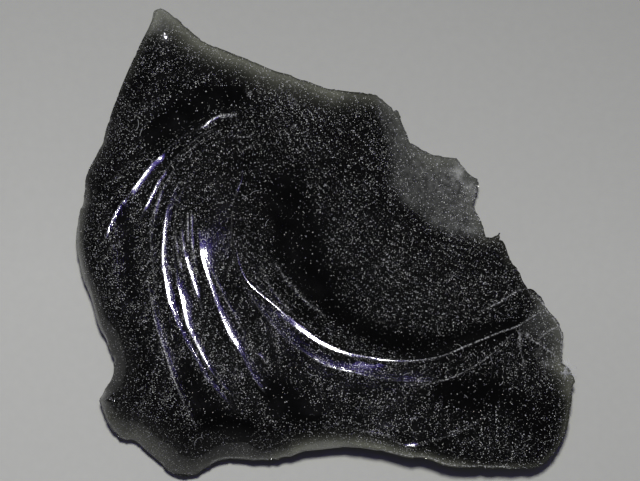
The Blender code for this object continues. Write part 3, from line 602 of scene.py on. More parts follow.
def smooth_line(points, steps=CURVE_STEPS):
    """The points of a smooth curve through the given ones."""
    points = np.array(points, float)
    before = np.vstack([2 * points[0] - points[1], points[:-2]])
    after = np.vstack([points[2:], 2 * points[-1] - points[-2]])
    line = []
    for p0, p1, p2, p3 in zip(before, points[:-1], points[1:], after):
        for step in range(steps):
            t = step / steps
            line.append(0.5 * (2 * p1 + (p2 - p0) * t + (2 * p0 - 5 * p1 + 4 * p2 - p3) * t**2
                               + (3 * p1 - p0 - 3 * p2 + p3) * t**3))
    line.append(points[-1])
    return np.array(line)


def from_line(x, y, line):
    """Distance from a line, positive on its left, and the share of its length at the nearest point."""
    spans = np.diff(line, axis=0)
    lengths = np.hypot(*spans.T)
    starts = np.concatenate([[0.0], np.cumsum(lengths)])
    nearest = np.full(x.shape, np.inf)
    side = np.ones(x.shape)
    share = np.zeros(x.shape)
    for (px, py), (sx, sy), length, start in zip(line, spans, lengths, starts):
        t = np.clip(((x - px) * sx + (y - py) * sy) / length**2, 0.0, 1.0)
        gap = np.hypot(x - px - t * sx, y - py - t * sy)
        closer = gap < nearest
        nearest[closer] = gap[closer]
        side[closer] = np.where(sx * (y - py) - sy * (x - px) < 0.0, -1.0, 1.0)[closer]
        share[closer] = ((start + t * length) / starts[-1])[closer]
    return nearest * side, share


class Face:
    """The rippled fracture face, built from the sizes in the panel."""

    def __init__(self, sizes):
        self.dome_slope = sizes.dome_slope
        self.ripple_height = sizes.ripple_height
        self.lip_rounding = sizes.lip_rounding / MM
        self.nicks = nick_places(sizes.nicks)

    def lie(self, x, y):
        """The tilt and the very gentle hollow that the whole face shares."""
        return RISE_TO_BACK * y + (x * x + y * y) / (2.0 * DISH_RADIUS)

    def dome(self, x, y):
        """Outside the lip: a low dome that falls away faster east of the fold."""
        radius = np.hypot(x - DOME_MIDDLE[0], y - DOME_MIDDLE[1])
        crown = self.dome_slope * (np.hypot(radius, DOME_CROWN) - DOME_CROWN)
        fold = FOLD_SLOPE * (np.hypot(np.maximum(x - FOLD_X, 0.0), FOLD_WIDTH) - FOLD_WIDTH)
        return FACE_HEIGHT + self.lie(x, y) - crown - fold

    def hollow(self, x, y):
        """Inside the lip: one broad scar that falls towards the thin right-hand rim."""
        return HOLLOW_HEIGHT + self.lie(x, y) - HOLLOW_SLOPE[0] * x - HOLLOW_SLOPE[1] * y

    def outside_lip(self, x, y):
        """1 outside the lip, dying out over the wall inside it."""
        gap, share = from_line(x, y, smooth_line(LIP))
        worn = 1.0 - ramp(LIP_WORN_TO, LIP_CRISP_FROM, share)
        rounding = self.lip_rounding + (LIP_SOFT - self.lip_rounding) * worn
        inside = np.hypot(np.maximum(gap, 0.0), rounding) - rounding
        reach = LIP_REACH[0] + (LIP_REACH[1] - LIP_REACH[0]) * ramp(*LIP_REACH_GROWS, share)
        return np.exp(-inside / reach)

    def near_crest(self, x, y, crest, reach):
        """Which places lie within reach of a crest, with their distance and share of its length."""
        line = smooth_line(crest)
        low, high = line.min(0) - reach, line.max(0) + reach
        near = (x > low[0]) & (x < high[0]) & (y > low[1]) & (y < high[1])
        gap, share = from_line(x[near], y[near], line)
        ends = ramp(0.0, RIPPLE_END, share) * ramp(0.0, RIPPLE_END, 1.0 - share)
        return near, gap, share, ends

    def ripple(self, x, y, slope, flank, outer, shares, crest):
        """A low ridge with a sharp crest, straight on its inner flank and steep on its outer side."""
        tail = RIPPLE_TAIL * max(flank, outer)
        near, gap, share, ends = self.near_crest(x, y, crest, tail)
        away = np.abs(gap)
        inner_side = 0.5 * (flank - away + np.hypot(flank - away, RIPPLE_BEND * flank))
        crown = 0.5 * (flank + math.hypot(flank, RIPPLE_BEND * flank))
        fade = 1.0 - ramp(RIPPLE_TAIL_STARTS * tail, tail, away)
        section = np.where(gap > 0.0, inner_side * fade, crown * np.exp(-((away / outer) ** 2)))
        lift = np.zeros(x.shape)
        strength = ends * (RIPPLE_REST + (1.0 - RIPPLE_REST) * swell(share, shares))
        lift[near] = slope * self.ripple_height * section * strength
        return lift

    def scar_gap(self, x, y, edge):
        """Distance into a scar from its edge, 0 beside it, and a factor that fades its two ends."""
        gap, share = from_line(x, y, smooth_line(edge))
        inside = np.where(gap < SCAR_LIMIT, np.maximum(gap, 0.0), 0.0)
        return inside, ramp(0.0, SCAR_END, share) * ramp(0.0, SCAR_END, 1.0 - share)

    def rolled(self, x, y):
        """How far the face has rolled down towards the rim."""
        drop, width = near_places(x, y, ROLLED_RIMS)
        from_rim = np.abs(from_line(x, y, rim_line())[0])
        return drop * np.maximum(1.0 - from_rim / width, 0.0) ** 2

    def height(self, x, y):
        """Height of the face over the resting facet."""
        floor = self.hollow(x, y)
        height = floor + (self.dome(x, y) - floor) * self.outside_lip(x, y)
        for slope, flank, outer, shares, _, crest in RIPPLES.values():
            height = height + self.ripple(x, y, slope, flank, outer, shares, crest)
        for depth, reach, _, edge in FACE_SCARS.values():
            inside, ends = self.scar_gap(x, y, edge)
            height = height - depth * ends * (1.0 - np.exp(-inside / reach))
        for middle_x, middle_y, width_x, width_y, rise_x, rise_y in TILTS:
            near = np.exp(-(((x - middle_x) / width_x) ** 2) - ((y - middle_y) / width_y) ** 2)
            height = height + near * (rise_x * (x - middle_x) + rise_y * (y - middle_y))
        return height - self.rolled(x, y) + spots(x, y, KNOBS)

    def frost(self, x, y):
        """How frosted the glass is, from 0 to 1."""
        frost = np.zeros(x.shape)
        for _, _, amount, edge in FACE_SCARS.values():
            inside, ends = self.scar_gap(x, y, edge)
            frost = np.maximum(frost, amount * ends * (1.0 - np.exp(-inside / FROST_REACH)))
        return frost + spots(x, y, FROST_SPOTS)

    def dust(self, x, y):
        """How much dust is drawn at each place: 1 on open ground, less where bare, more where it caught,
        and that extra is partly painted glow.
        """
        dust = np.ones(x.shape)
        for row in BARE_ROWS:
            for middle_x, middle_y, radius in smooth_line(row):
                away = ((x - middle_x) ** 2 + (y - middle_y) ** 2) / radius**2
                dust = np.minimum(dust, 1.0 - BARE_SHARE * np.exp(-away * away))
        more = np.zeros(x.shape)
        # more pale dust along these rows, partly painted glow along the lip and the ripples
        for gain, width, row in DUST_AND_PAINTED_GLOW_ROWS:
            near, gap, _, ends = self.near_crest(x, y, row, DUST_AND_PAINTED_GLOW_TAIL * width)
            more[near] = np.maximum(more[near], gain * ends * np.exp(-((gap / width) ** 2)))
        return np.maximum(dust + more + spots(x, y, DUST_SPOTS), DUST_LEAST)

    def crests(self, x, y):
        """How pale the worn crests are at each place."""
        pale = np.zeros(x.shape)
        lines = [values[3:6] for values in RIPPLES.values()]
        lines += [(WHOLE, *line) for line in WORN_LINES]
        for shares, amount, crest in lines:
            near, gap, share, ends = self.near_crest(x, y, crest, CREST_TAIL * CREST_WIDTH)
            held = amount * ends * (CREST_REST + (1.0 - CREST_REST) * swell(share, shares))
            pale[near] = np.maximum(pale[near], held * np.exp(-((gap / CREST_WIDTH) ** 2)))
        return pale

    def flow(self, x, y):
        """A value across the stress lines, one that runs along them, and how strong they are."""
        total, strength = np.zeros(x.shape), np.zeros(x.shape)
        weights = np.full(x.shape, NEARLY_NOTHING)
        for name, order in FLOW.items():
            gap, share = from_line(x, y, smooth_line(RIPPLES[name][-1]))
            ends = ramp(0.0, FLOW_END, share) * ramp(0.0, FLOW_END, 1.0 - share)
            weight = ends * (gap**2 + FLOW_NEAR**2) ** -FLOW_FALL
            total += weight * (order + gap)
            weights += weight
            strength = np.maximum(strength, ends * np.exp(-((gap / FLOW_REACH) ** 2)))
        turn = np.arctan2(DOME_MIDDLE[1] - y, DOME_MIDDLE[0] - x)
        radius = np.hypot(x - DOME_MIDDLE[0], y - DOME_MIDDLE[1])
        return total / weights, turn * radius, strength


def rim_line():
    """The outline as a closed smooth line."""
    points = [(x, y) for x, y, _ in OUTLINE]
    return smooth_line(points + points[:1])


def nick_places(count):
    """Each nick in the rim: its place, half width and depth."""
    line = rim_line()
    draw = np.random.default_rng(NICK_DRAW)
    places = []
    for _ in range(count):
        step = draw.integers(len(line) - 1)
        spot = line[step] + draw.random() * (line[step + 1] - line[step])
        width = NICK_WIDTHS[0] + (NICK_WIDTHS[1] - NICK_WIDTHS[0]) * draw.random() ** 2
        places.append((*spot, width, draw.uniform(*NICK_DEPTHS) * math.sqrt(width)))
    return places


def near_places(x, y, places):
    """The values that belong to a list of places, blended by which of them are nearest."""
    totals, weights = [0.0] * (len(places[0]) - 2), np.zeros(x.shape)
    for px, py, *values in places:
        weight = ((x - px) ** 2 + (y - py) ** 2 + PLACE_REACH**2) ** -PLACE_FALL
        totals = [total + weight * value for total, value in zip(totals, values)]
        weights += weight
    return [total / weights for total in totals]


def spots(x, y, places):
    """The sum of soft round spots, each with its radius and height."""
    total = np.zeros(x.shape)
    for px, py, radius, height in places:
        total += height * np.exp(-((x - px) ** 2 + (y - py) ** 2) / radius**2)
    return total


def clearness(x, y, from_rim):
    """How clear the glass is, from the rim inwards."""
    clear, reach = near_places(x, y, CLEAR_RIMS)
    return clear * np.exp(-((from_rim / reach) ** CLEAR_FALL))


def chipped(x, y, nicks):
    """How deep the nicks bite at each place."""
    bite = np.zeros(x.shape)
    for px, py, width, depth in nicks:
        inside = np.maximum(1.0 - ((x - px) ** 2 + (y - py) ** 2) / width**2, 0.0)
        bite = np.maximum(bite, depth * np.sqrt(inside))
    return bite


def inwards(x, y):
    """Unit vectors that point from the rim into the stone."""
    line = rim_line()
    slope_x = from_line(x + RIM_STEP, y, line)[0] - from_line(x - RIM_STEP, y, line)[0]
    slope_y = from_line(x, y + RIM_STEP, line)[0] - from_line(x, y - RIM_STEP, line)[0]
    length = np.maximum(np.hypot(slope_x, slope_y), NEARLY_NOTHING)
    return -slope_x / length, -slope_y / length


class Underside:
    """The flaked underside: rim scars, broad scars and the flat resting facet."""

    def __init__(self, face):
        self.caps = []
        for start_x, start_y, heading, radius, slope in RIM_SCARS:
            angle, out = math.atan(slope), math.radians(heading)
            middle_x = start_x + radius * math.sin(angle) * math.cos(out)
            middle_y = start_y + radius * math.sin(angle) * math.sin(out)
            edge = float(face.height(np.array([start_x]), np.array([start_y]))[0]) - RIM_THICKNESS
            self.caps.append((middle_x, middle_y, edge - radius * math.cos(angle), radius))
        for middle_x, middle_y, crown, radius in BROAD_SCARS:
            self.caps.append((middle_x, middle_y, crown - radius, radius))

    def scars(self, x, y):
        """Heights of all the scars and of the resting facet at each place, highest last."""
        heights = [np.full(x.shape, BASE_HEIGHT)]
        for middle_x, middle_y, level, radius in self.caps:
            below = radius**2 - (x - middle_x) ** 2 - (y - middle_y) ** 2
            heights.append(level + np.sqrt(np.maximum(below, 0.0)))
        return np.sort(np.maximum(heights, BASE_DEEPEST), axis=0)

    def height(self, x, y, face, from_rim):
        """Height of the underside below a face of given height, at a distance from the rim."""
        height = np.minimum(self.scars(x, y)[-1], face - RIM_THICKNESS - RIM_WEDGE * from_rim)
        return np.maximum(height, BASE_HEIGHT)


# ---------------------------------------------------------------- the stone's mesh

def outline_curve():
    """The outline as a flat filled curve, BLANK thick."""
    curve = bpy.data.curves.new("outline", "CURVE")
    curve.dimensions = "2D"
    curve.fill_mode = "BOTH"
    curve.extrude = BLANK / 2.0
    curve.resolution_u = CURVE_STEPS
    spline = curve.splines.new("BEZIER")
    spline.bezier_points.add(len(OUTLINE) - 1)
    for point, (x, y, corner) in zip(spline.bezier_points, OUTLINE):
        point.co = (x, y, 0.0)
        point.handle_left_type = point.handle_right_type = "VECTOR" if corner else "AUTO"
    spline.use_cyclic_u = True
    outline = bpy.data.objects.new("outline", curve)
    bpy.context.scene.collection.objects.link(outline)
    return outline


def filled_outline():
    """The outline's solid as a bmesh with one face above and one below."""
    outline = outline_curve()
    graph = bpy.context.evaluated_depsgraph_get()
    flat = bpy.data.meshes.new_from_object(outline.evaluated_get(graph))
    bm = bmesh.new()
    bm.from_mesh(flat)
    bpy.data.objects.remove(outline)
    bpy.data.meshes.remove(flat)
    bmesh.ops.remove_doubles(bm, verts=bm.verts, dist=SAME_PLACE)
    for level in (BLANK / 2.0, -BLANK / 2.0):
        cap = [f for f in bm.faces if all(abs(v.co.z - level) < SAME_PLACE for v in f.verts)]
        bmesh.ops.dissolve_faces(bm, faces=cap, use_verts=False)
    bmesh.ops.recalc_face_normals(bm, faces=bm.faces)
    return bm


def cut_lattice(bm, spacing):
    """Divides the solid by upright planes, spacing apart, along X and along Y."""
    for axis in (0, 1):
        values = [v.co[axis] for v in bm.verts]
        first = math.floor(min(values) / spacing) + 1
        last = math.ceil(max(values) / spacing)
        normal = (1.0, 0.0, 0.0) if axis == 0 else (0.0, 1.0, 0.0)
        for step in range(first, last):
            place = [0.0, 0.0, 0.0]
            place[axis] = (step + LATTICE_SHIFT) * spacing
            everything = bm.verts[:] + bm.edges[:] + bm.faces[:]
            bmesh.ops.bisect_plane(bm, geom=everything, dist=ON_CUT, plane_co=place, plane_no=normal)


def split_edges(bm, chosen, cuts):
    """Divides the chosen edges evenly and makes triangles of what that leaves."""
    bmesh.ops.subdivide_edges(bm, edges=chosen, cuts=cuts, use_grid_fill=True)
    bmesh.ops.triangulate(bm, faces=bm.faces, quad_method="BEAUTY", ngon_method="BEAUTY")


def level_edges(bm, above):
    """The edges of the upper or the lower face, with the middle of each."""
    edges = [e for e in bm.edges if all((v.co.z > 0.0) == above for v in e.verts)]
    middles = np.array([((e.verts[0].co + e.verts[1].co) / 2.0)[:2] for e in edges], float)
    return edges, middles[:, 0], middles[:, 1]


def fine_edges(bm, above, chosen):
    """The edges of one face for which the rule chosen(x, y) holds, or that lie along the rim."""
    edges, x, y = level_edges(bm, above)
    near = chosen(x, y) | (np.abs(from_line(x, y, rim_line())[0]) < RIM_BAND)
    return [edge for edge, wanted in zip(edges, near) if wanted]


def on_crest(face, x, y):
    """Which places lie on a sharp part of the face."""
    near = np.zeros(x.shape, bool)
    for _, flank, outer, _, _, crest in RIPPLES.values():
        outside = -CREST_BAND[0] * min(outer, CREST_BAND_MOST)
        inside = min(CREST_BAND[1] * flank, CREST_BAND_MOST)
        close, gap, _, _ = face.near_crest(x, y, crest, CREST_NEAR)
        near[close] |= (gap > outside) & (gap < inside)
    gap, share = from_line(x, y, smooth_line(LIP))
    return near | ((gap > LIP_BAND[0]) & (gap < LIP_BAND[1]) & (share > LIP_WORN_TO))


def refine(bm, face, under):
    """Smaller triangles all over, and far smaller ones on the crests, the arrises and the rim."""
    bmesh.ops.triangulate(bm, faces=bm.faces, quad_method="BEAUTY", ngon_method="BEAUTY")
    split_edges(bm, level_edges(bm, True)[0] + level_edges(bm, False)[0], 1)
    crests = fine_edges(bm, True, functools.partial(on_crest, face))
    bmesh.ops.subdivide_edges(bm, edges=crests, cuts=CREST_CUTS, use_grid_fill=True)

    def on_arris(x, y):
        heights = under.scars(x, y)
        return heights[-1] - heights[-2] < ARRIS_GAP

    split_edges(bm, fine_edges(bm, False, on_arris), 1)


def stone_mesh(face):
    """The whole stone as a closed bmesh in millimetres, with the values that its glass reads."""
    under = Underside(face)
    bm = filled_outline()
    cut_lattice(bm, LATTICE)
    refine(bm, face, under)
    x, y, level = np.array([v.co[:] for v in bm.verts], float).T
    from_rim = np.abs(from_line(x, y, rim_line())[0])
    upper = face.height(x, y)
    lower = under.height(x, y, upper, from_rim)
    flow, along, strength = face.flow(x, y)
    values = {
        # the dust values include painted glow along the lip and the ripples
        "thin": clearness(x, y, from_rim), "frost": face.frost(x, y), "dust": face.dust(x, y),
        "crests": np.where(level > 0.0, face.crests(x, y), 0.0),
        "edge": np.exp(-((from_rim / EDGE_WIDTH) ** 2)), "flow": flow, "along": along,
        "streaked": strength,
    }
    bite = chipped(x, y, face.nicks)
    rim = from_rim < RIM_BAND
    in_x, in_y = np.zeros(x.shape), np.zeros(x.shape)
    in_x[rim], in_y[rim] = inwards(x[rim], y[rim])
    push = bite * (1.0 - ramp(0.0, RIM_BAND, from_rim))
    upper = np.maximum(upper - bite, lower + RIM_LEAST)
    upper = upper * min(1.0, CAD_HIGH.z / MM / upper.max())
    height = np.where(level > 0.0, upper, lower)
    for vert, place in zip(bm.verts, zip(x + push * in_x, y + push * in_y, height)):
        vert.co = place
    return bm, values


def finished_piece(name, bm, materials, smooth_angle):
    """An object at the origin that holds the bmesh, inside the solid's box, riding on its body."""
    for vert in bm.verts:
        for axis in range(3):
            vert.co[axis] = min(max(vert.co[axis] * MM, CAD_LOW[axis]), CAD_HIGH[axis])
    bmesh.ops.recalc_face_normals(bm, faces=bm.faces)
    mesh = bpy.data.meshes.new(name)
    bm.to_mesh(mesh)
    bm.free()
    for material in materials:
        mesh.materials.append(material)
    mesh.shade_smooth()
    mesh.set_sharp_from_angle(angle=smooth_angle)
    piece = bpy.data.objects.new(name, mesh)
    bpy.context.scene.collection.objects.link(piece)
    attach(piece, "root")
    return piece


# ---------------------------------------------------------------- lint

def inside_outline(x, y, margin):
    """Which places lie inside the stone's outline by at least a margin."""
    return from_line(x, y, rim_line())[0] < -margin


def fibre_plan(count):
    """Each fibre's start, heading, length and turn: the plain ones, scattered short ones and the tuft."""
    draw = np.random.default_rng(FIBRE_DRAW)
    plan = [(*values, FIBRE_LIFT) for values in LONG_FIBRES]
    while len(plan) < len(LONG_FIBRES) + count:
        x = draw.uniform(CAD_LOW.x, CAD_HIGH.x) / MM
        y = draw.uniform(CAD_LOW.y, CAD_HIGH.y) / MM
        if inside_outline(np.array([x]), np.array([y]), FIBRE_LENGTHS[1])[0]:
            turn = draw.uniform(-FIBRE_TURN, FIBRE_TURN)
            heading, length = draw.uniform(0.0, 360.0), draw.uniform(*FIBRE_LENGTHS)
            plan.append((x, y, heading, length, turn, FIBRE_LIFT))
    for _ in range(TUFT_FIBRES):
        x, y = np.array(TUFT_MIDDLE) + np.array(TUFT_SIZE) * draw.uniform(-TUFT_SPREAD, TUFT_SPREAD, 2)
        turn = draw.uniform(-TUFT_TURN, TUFT_TURN)
        heading, length = draw.uniform(0.0, 360.0), draw.uniform(*TUFT_LENGTHS)
        plan.append((x, y, heading, length, turn, TUFT_LIFT))
    return plan


def fibre_paths(face, plan):
    """The points of every fibre, each arched a little off the face."""
    steps = np.linspace(0.0, 1.0, FIBRE_SPANS + 1)
    flat, lifts = [], []
    for x, y, heading, length, turn, lift in plan:
        angles = np.radians(heading + turn * (steps[:-1] + steps[1:]) / 2.0)
        span = length / FIBRE_SPANS
        flat.append(np.stack([x + span * np.concatenate([[0.0], np.cumsum(np.cos(angles))]),
                              y + span * np.concatenate([[0.0], np.cumsum(np.sin(angles))])], 1))
        lifts.append(lift * np.sin(np.pi * steps) + FIBRE_RADII[1])
    places = np.concatenate(flat)
    heights = face.height(places[:, 0], places[:, 1]) + np.concatenate(lifts)
    return np.column_stack([places, heights]).reshape(len(plan), FIBRE_SPANS + 1, 3)


def add_fibre(bm, path, radius):
    """A round thread along a path: a capped circle that is extruded span by span."""
    points = [Vector(point) for point in path]
    headings = [(there - here).normalized() for here, there in zip(points[:-1], points[1:])]
    turned = headings[0].to_track_quat("Z", "Y").to_matrix().to_4x4()
    ring = bmesh.ops.create_circle(bm, cap_ends=True, segments=FIBRE_SIDES, radius=radius,
                                   matrix=Matrix.Translation(points[0]) @ turned)["verts"]
    end = ring[0].link_faces[0]
    headings.append(headings[-1])
    for step in range(FIBRE_SPANS):
        grown = bmesh.ops.extrude_face_region(bm, geom=[end])["geom"]
        end = next(part for part in grown if isinstance(part, bmesh.types.BMFace))
        moved = end.verts[:]
        bmesh.ops.translate(bm, vec=points[step + 1] - points[step], verts=moved)
        bend = headings[step].rotation_difference(headings[step + 1]).to_matrix()
        bmesh.ops.rotate(bm, cent=points[step + 1], matrix=bend, verts=moved)


# ---------------------------------------------------------------- materials

def new_node(tree, kind, x, y, **values):
    """A node of the tree at a place in the editor, with its settings."""
    made = tree.nodes.new(kind)
    made.location = (x, y)
    for name, value in values.items():
        setattr(made, name, value)
    return made


def link(tree, output, socket):
    """Joins an output to a socket."""
    tree.links.new(output, socket)


def speck_group():
    """Node group: round specks scattered through space, each with its own brightness."""
    group = bpy.data.node_groups.new("Specks", "ShaderNodeTree")
    sockets = group.interface
    sockets.new_socket("Vector", in_out="INPUT", socket_type="NodeSocketVector")
    for name, default in (("Scale", 2400.0), ("Size", 0.2), ("Share", 0.5), ("Falloff", 1.5)):
        made = sockets.new_socket(name, in_out="INPUT", socket_type="NodeSocketFloat")
        made.default_value = default
    sockets.new_socket("Mask", in_out="OUTPUT", socket_type="NodeSocketFloat")
    inside = new_node(group, "NodeGroupInput", -900, 0)
    outside = new_node(group, "NodeGroupOutput", 500, 0)
    cells = new_node(group, "ShaderNodeTexVoronoi", -650, 0, feature="F1", distance="EUCLIDEAN")
    cells.inputs["Randomness"].default_value = 1.0
    link(group, inside.outputs["Vector"], cells.inputs["Vector"])
    link(group, inside.outputs["Scale"], cells.inputs["Scale"])
    split = new_node(group, "ShaderNodeSeparateColor", -420, 120)
    link(group, cells.outputs["Color"], split.inputs["Color"])
    radius = new_node(group, "ShaderNodeMath", -220, 0, operation="MULTIPLY")
    link(group, split.outputs["Red"], radius.inputs[0])
    link(group, inside.outputs["Size"], radius.inputs[1])
    within = new_node(group, "ShaderNodeMath", -40, 0, operation="LESS_THAN")
    link(group, cells.outputs["Distance"], within.inputs[0])
    link(group, radius.outputs[0], within.inputs[1])
    kept = new_node(group, "ShaderNodeMath", -40, 180, operation="LESS_THAN")
    link(group, split.outputs["Green"], kept.inputs[0])
    link(group, inside.outputs["Share"], kept.inputs[1])
    both = new_node(group, "ShaderNodeMath", 140, 60, operation="MULTIPLY")
    link(group, within.outputs[0], both.inputs[0])
    link(group, kept.outputs[0], both.inputs[1])
    bright = new_node(group, "ShaderNodeMath", 300, 60, operation="MULTIPLY")
    link(group, both.outputs[0], bright.inputs[0])
    uneven = new_node(group, "ShaderNodeMath", 140, -120, operation="POWER")
    link(group, split.outputs["Blue"], uneven.inputs[0])
    link(group, inside.outputs["Falloff"], uneven.inputs[1])
    link(group, uneven.outputs[0], bright.inputs[1])
    link(group, bright.outputs[0], outside.inputs["Mask"])
    return group


def specks(tree, group, vector, share, scale, size, falloff, x, y):
    """A use of the speck group, in which share is an output."""
    made = new_node(tree, "ShaderNodeGroup", x, y, node_tree=group)
    link(tree, vector, made.inputs["Vector"])
    made.inputs["Scale"].default_value = scale
    made.inputs["Size"].default_value = size
    made.inputs["Falloff"].default_value = falloff
    link(tree, share, made.inputs["Share"])
    return made.outputs["Mask"]


def mapped(tree, value, low, high, to_low, to_high, x, y):
    """The value carried from one range to another, held at its ends."""
    made = new_node(tree, "ShaderNodeMapRange", x, y)
    made.inputs["From Min"].default_value = low
    made.inputs["From Max"].default_value = high
    made.inputs["To Min"].default_value = to_low
    made.inputs["To Max"].default_value = to_high
    link(tree, value, made.inputs["Value"])
    return made.outputs["Result"]


def math_node(tree, operation, first, second, x, y):
    """Two values combined; each is a number or an output."""
    made = new_node(tree, "ShaderNodeMath", x, y, operation=operation)
    for socket, value in zip(made.inputs, (first, second)):
        if isinstance(value, (int, float)):
            socket.default_value = value
        else:
            link(tree, value, socket)
    return made.outputs[0]


def mixed(tree, share, first, second, x, y):
    """Two colours mixed; each is a colour or an output."""
    made = new_node(tree, "ShaderNodeMix", x, y, data_type="RGBA", blend_type="MIX")
    link(tree, share, made.inputs["Factor"])
    for name, value in (("A", first), ("B", second)):
        socket = next(s for s in made.inputs if s.name == name and s.type == "RGBA")
        if isinstance(value, tuple):
            socket.default_value = (*value, 1.0)
        else:
            link(tree, value, socket)
    return next(s for s in made.outputs if s.type == "RGBA")


def noise(tree, vector, scale, detail, x, y):
    """A cloudy value, scale clouds to a metre."""
    made = new_node(tree, "ShaderNodeTexNoise", x, y)
    made.inputs["Scale"].default_value = scale
    made.inputs["Detail"].default_value = detail
    link(tree, vector, made.inputs["Vector"])
    return made.outputs["Fac"]


def clouds(tree, vector, values, x, y):
    """A cloudy value carried from its own range to another."""
    scale, detail, *ranges = values
    return mapped(tree, noise(tree, vector, scale, detail, x - 200, y), *ranges, x, y)


def attribute(tree, name, x, y):
    """A value that the mesh holds at each corner."""
    return new_node(tree, "ShaderNodeAttribute", x, y, attribute_name=name).outputs["Fac"]


def flow_coordinate(tree, across, along, x, y):
    """A vector that changes fast across the stress lines and slowly along them."""
    fast = math_node(tree, "MULTIPLY", attribute(tree, "flow", x - 400, y), across, x - 200, y)
    run = attribute(tree, "along", x - 400, y - 200)
    slow = math_node(tree, "MULTIPLY", run, along, x - 200, y - 200)
    joined = new_node(tree, "ShaderNodeCombineXYZ", x, y)
    link(tree, fast, joined.inputs["X"])
    link(tree, slow, joined.inputs["Y"])
    return joined.outputs["Vector"]


def glass_colour(tree, place, finish):
    """The colour of the clean glass, and where it is frosted."""
    cloudy = clouds(tree, place, CLEAR_CLOUDS, -1500, 700)
    clear = math_node(tree, "MULTIPLY", attribute(tree, "thin", -1700, 500), cloudy, -1300, 600)
    edge = attribute(tree, "edge", -1700, 350)
    dark_rim = mapped(tree, edge, 0.0, 1.0, 1.0, DARKEST_RIM, -1500, 400)
    see_through = math_node(tree, "MULTIPLY", clear, dark_rim, -1200, 500)
    mottle = clouds(tree, place, FROST_MOTTLE, -1500, 1000)
    frosted = math_node(tree, "MULTIPLY", attribute(tree, "frost", -1700, 850), mottle, -1300, 900)
    body = mixed(tree, see_through, tuple(finish.body_colour), tuple(finish.thin_colour), -1100, 600)
    return mixed(tree, frosted, body, tuple(finish.frost_colour), -900, 600), frosted


def settled_dust(tree, place, streak):
    """How much dust has settled, with the painted glow that the dust attribute carries: patchy, streaked
    along the stress lines, and none on steep ground.
    """
    facing = new_node(tree, "ShaderNodeNewGeometry", -2100, -400).outputs["Normal"]
    up = new_node(tree, "ShaderNodeSeparateXYZ", -1900, -400)
    link(tree, facing, up.inputs["Vector"])
    level = mapped(tree, up.outputs["Z"], *LEVEL_GROUND, 0.0, 1.0, -1700, -400)
    patches = clouds(tree, place, DUST_PATCHES, -1500, 0)
    streaky = mapped(tree, streak, *STREAKY_DUST, -1300, 200)
    # the dust attribute is partly painted glow along the lip and the ripples
    lying = math_node(tree, "MULTIPLY", attribute(tree, "dust", -1700, 200), patches, -1300, 0)
    streaked = math_node(tree, "MULTIPLY", lying, streaky, -1150, 100)
    return math_node(tree, "MULTIPLY", streaked, level, -1000, 0)


def dust_mask(tree, place, settled, amount):
    """Where the dust shows: three sizes of speck, a thin film, and the worn lines."""
    share = math_node(tree, "MULTIPLY", settled, amount, -900, 0)
    film = math_node(tree, "MULTIPLY", clouds(tree, place, DUST_FILM, -700, 350), settled, -500, 350)
    grains = clouds(tree, place, WORN_GRAINS, -700, 1050)
    worn_line = math_node(tree, "MULTIPLY", attribute(tree, "crests", -1100, 1200), grains, -500, 1100)
    mask = math_node(tree, "MAXIMUM", film, worn_line, -350, 350)
    group = speck_group()
    for row, (scale, size, part, falloff) in enumerate(SPECK_SIZES):
        y = 150 - 150 * row
        held = math_node(tree, "MULTIPLY", share, part, -900, y - 100)
        made = specks(tree, group, place, held, scale, size, falloff, -700, y)
        mask = math_node(tree, "MAXIMUM", mask, made, -500 + 150 * row, y)
    return mask


def obsidian_material(finish):
    """Near-black glass, olive-grey where it is thin, under fine pale dust."""
    material = bpy.data.materials.new("obsidian")
    material.use_nodes = True
    tree = material.node_tree
    shader = tree.nodes["Principled BSDF"]
    output = tree.nodes["Material Output"]
    place = new_node(tree, "ShaderNodeTexCoord", -2100, 0).outputs["Object"]
    flow = flow_coordinate(tree, *STREAK_SCALE, -1500, -900)
    streak = noise(tree, flow, 1.0, STREAK_DETAIL, -1300, -900)
    glass, frosted = glass_colour(tree, place, finish)
    dust = dust_mask(tree, place, settled_dust(tree, place, streak), finish.dust)
    link(tree, mixed(tree, dust, glass, tuple(finish.dust_colour), -50, 400), shader.inputs["Base Color"])

    smudge = clouds(tree, place, SMUDGES, -900, -500)
    worn = math_node(tree, "MULTIPLY", frosted, FROST_ROUGHNESS, -900, -650)
    rough = math_node(tree, "ADD", smudge, worn, -700, -500)
    dusty = math_node(tree, "MULTIPLY", dust, DUST_ROUGHNESS, -500, -300)
    link(tree, math_node(tree, "ADD", rough, dusty, -300, -300), shader.inputs["Roughness"])
    shader.inputs["Metallic"].default_value = 0.0
    shader.inputs["IOR"].default_value = GLASS_IOR
    shader.inputs["Transmission Weight"].default_value = GLASS_TRANSMISSION

    bump = new_node(tree, "ShaderNodeBump", -300, -700)
    bump.inputs["Strength"].default_value = 1.0
    bump.inputs["Distance"].default_value = BUMP_HEIGHT
    strength = attribute(tree, "streaked", -900, -1100)
    shallow = math_node(tree, "MULTIPLY", streak, strength, -500, -900)
    tooth = noise(tree, place, TOOTH_SCALE, TOOTH_DETAIL, -900, -1250)
    tooth = math_node(tree, "MULTIPLY", tooth, TOOTH_SHARE, -700, -1250)
    link(tree, math_node(tree, "ADD", shallow, tooth, -400, -1000), bump.inputs["Height"])
    link(tree, bump.outputs["Normal"], shader.inputs["Normal"])

    absorb = new_node(tree, "ShaderNodeVolumeAbsorption", 0, -300)
    absorb.inputs["Color"].default_value = GLASS_ABSORPTION
    absorb.inputs["Density"].default_value = GLASS_DENSITY
    link(tree, absorb.outputs["Volume"], output.inputs["Volume"])
    return material


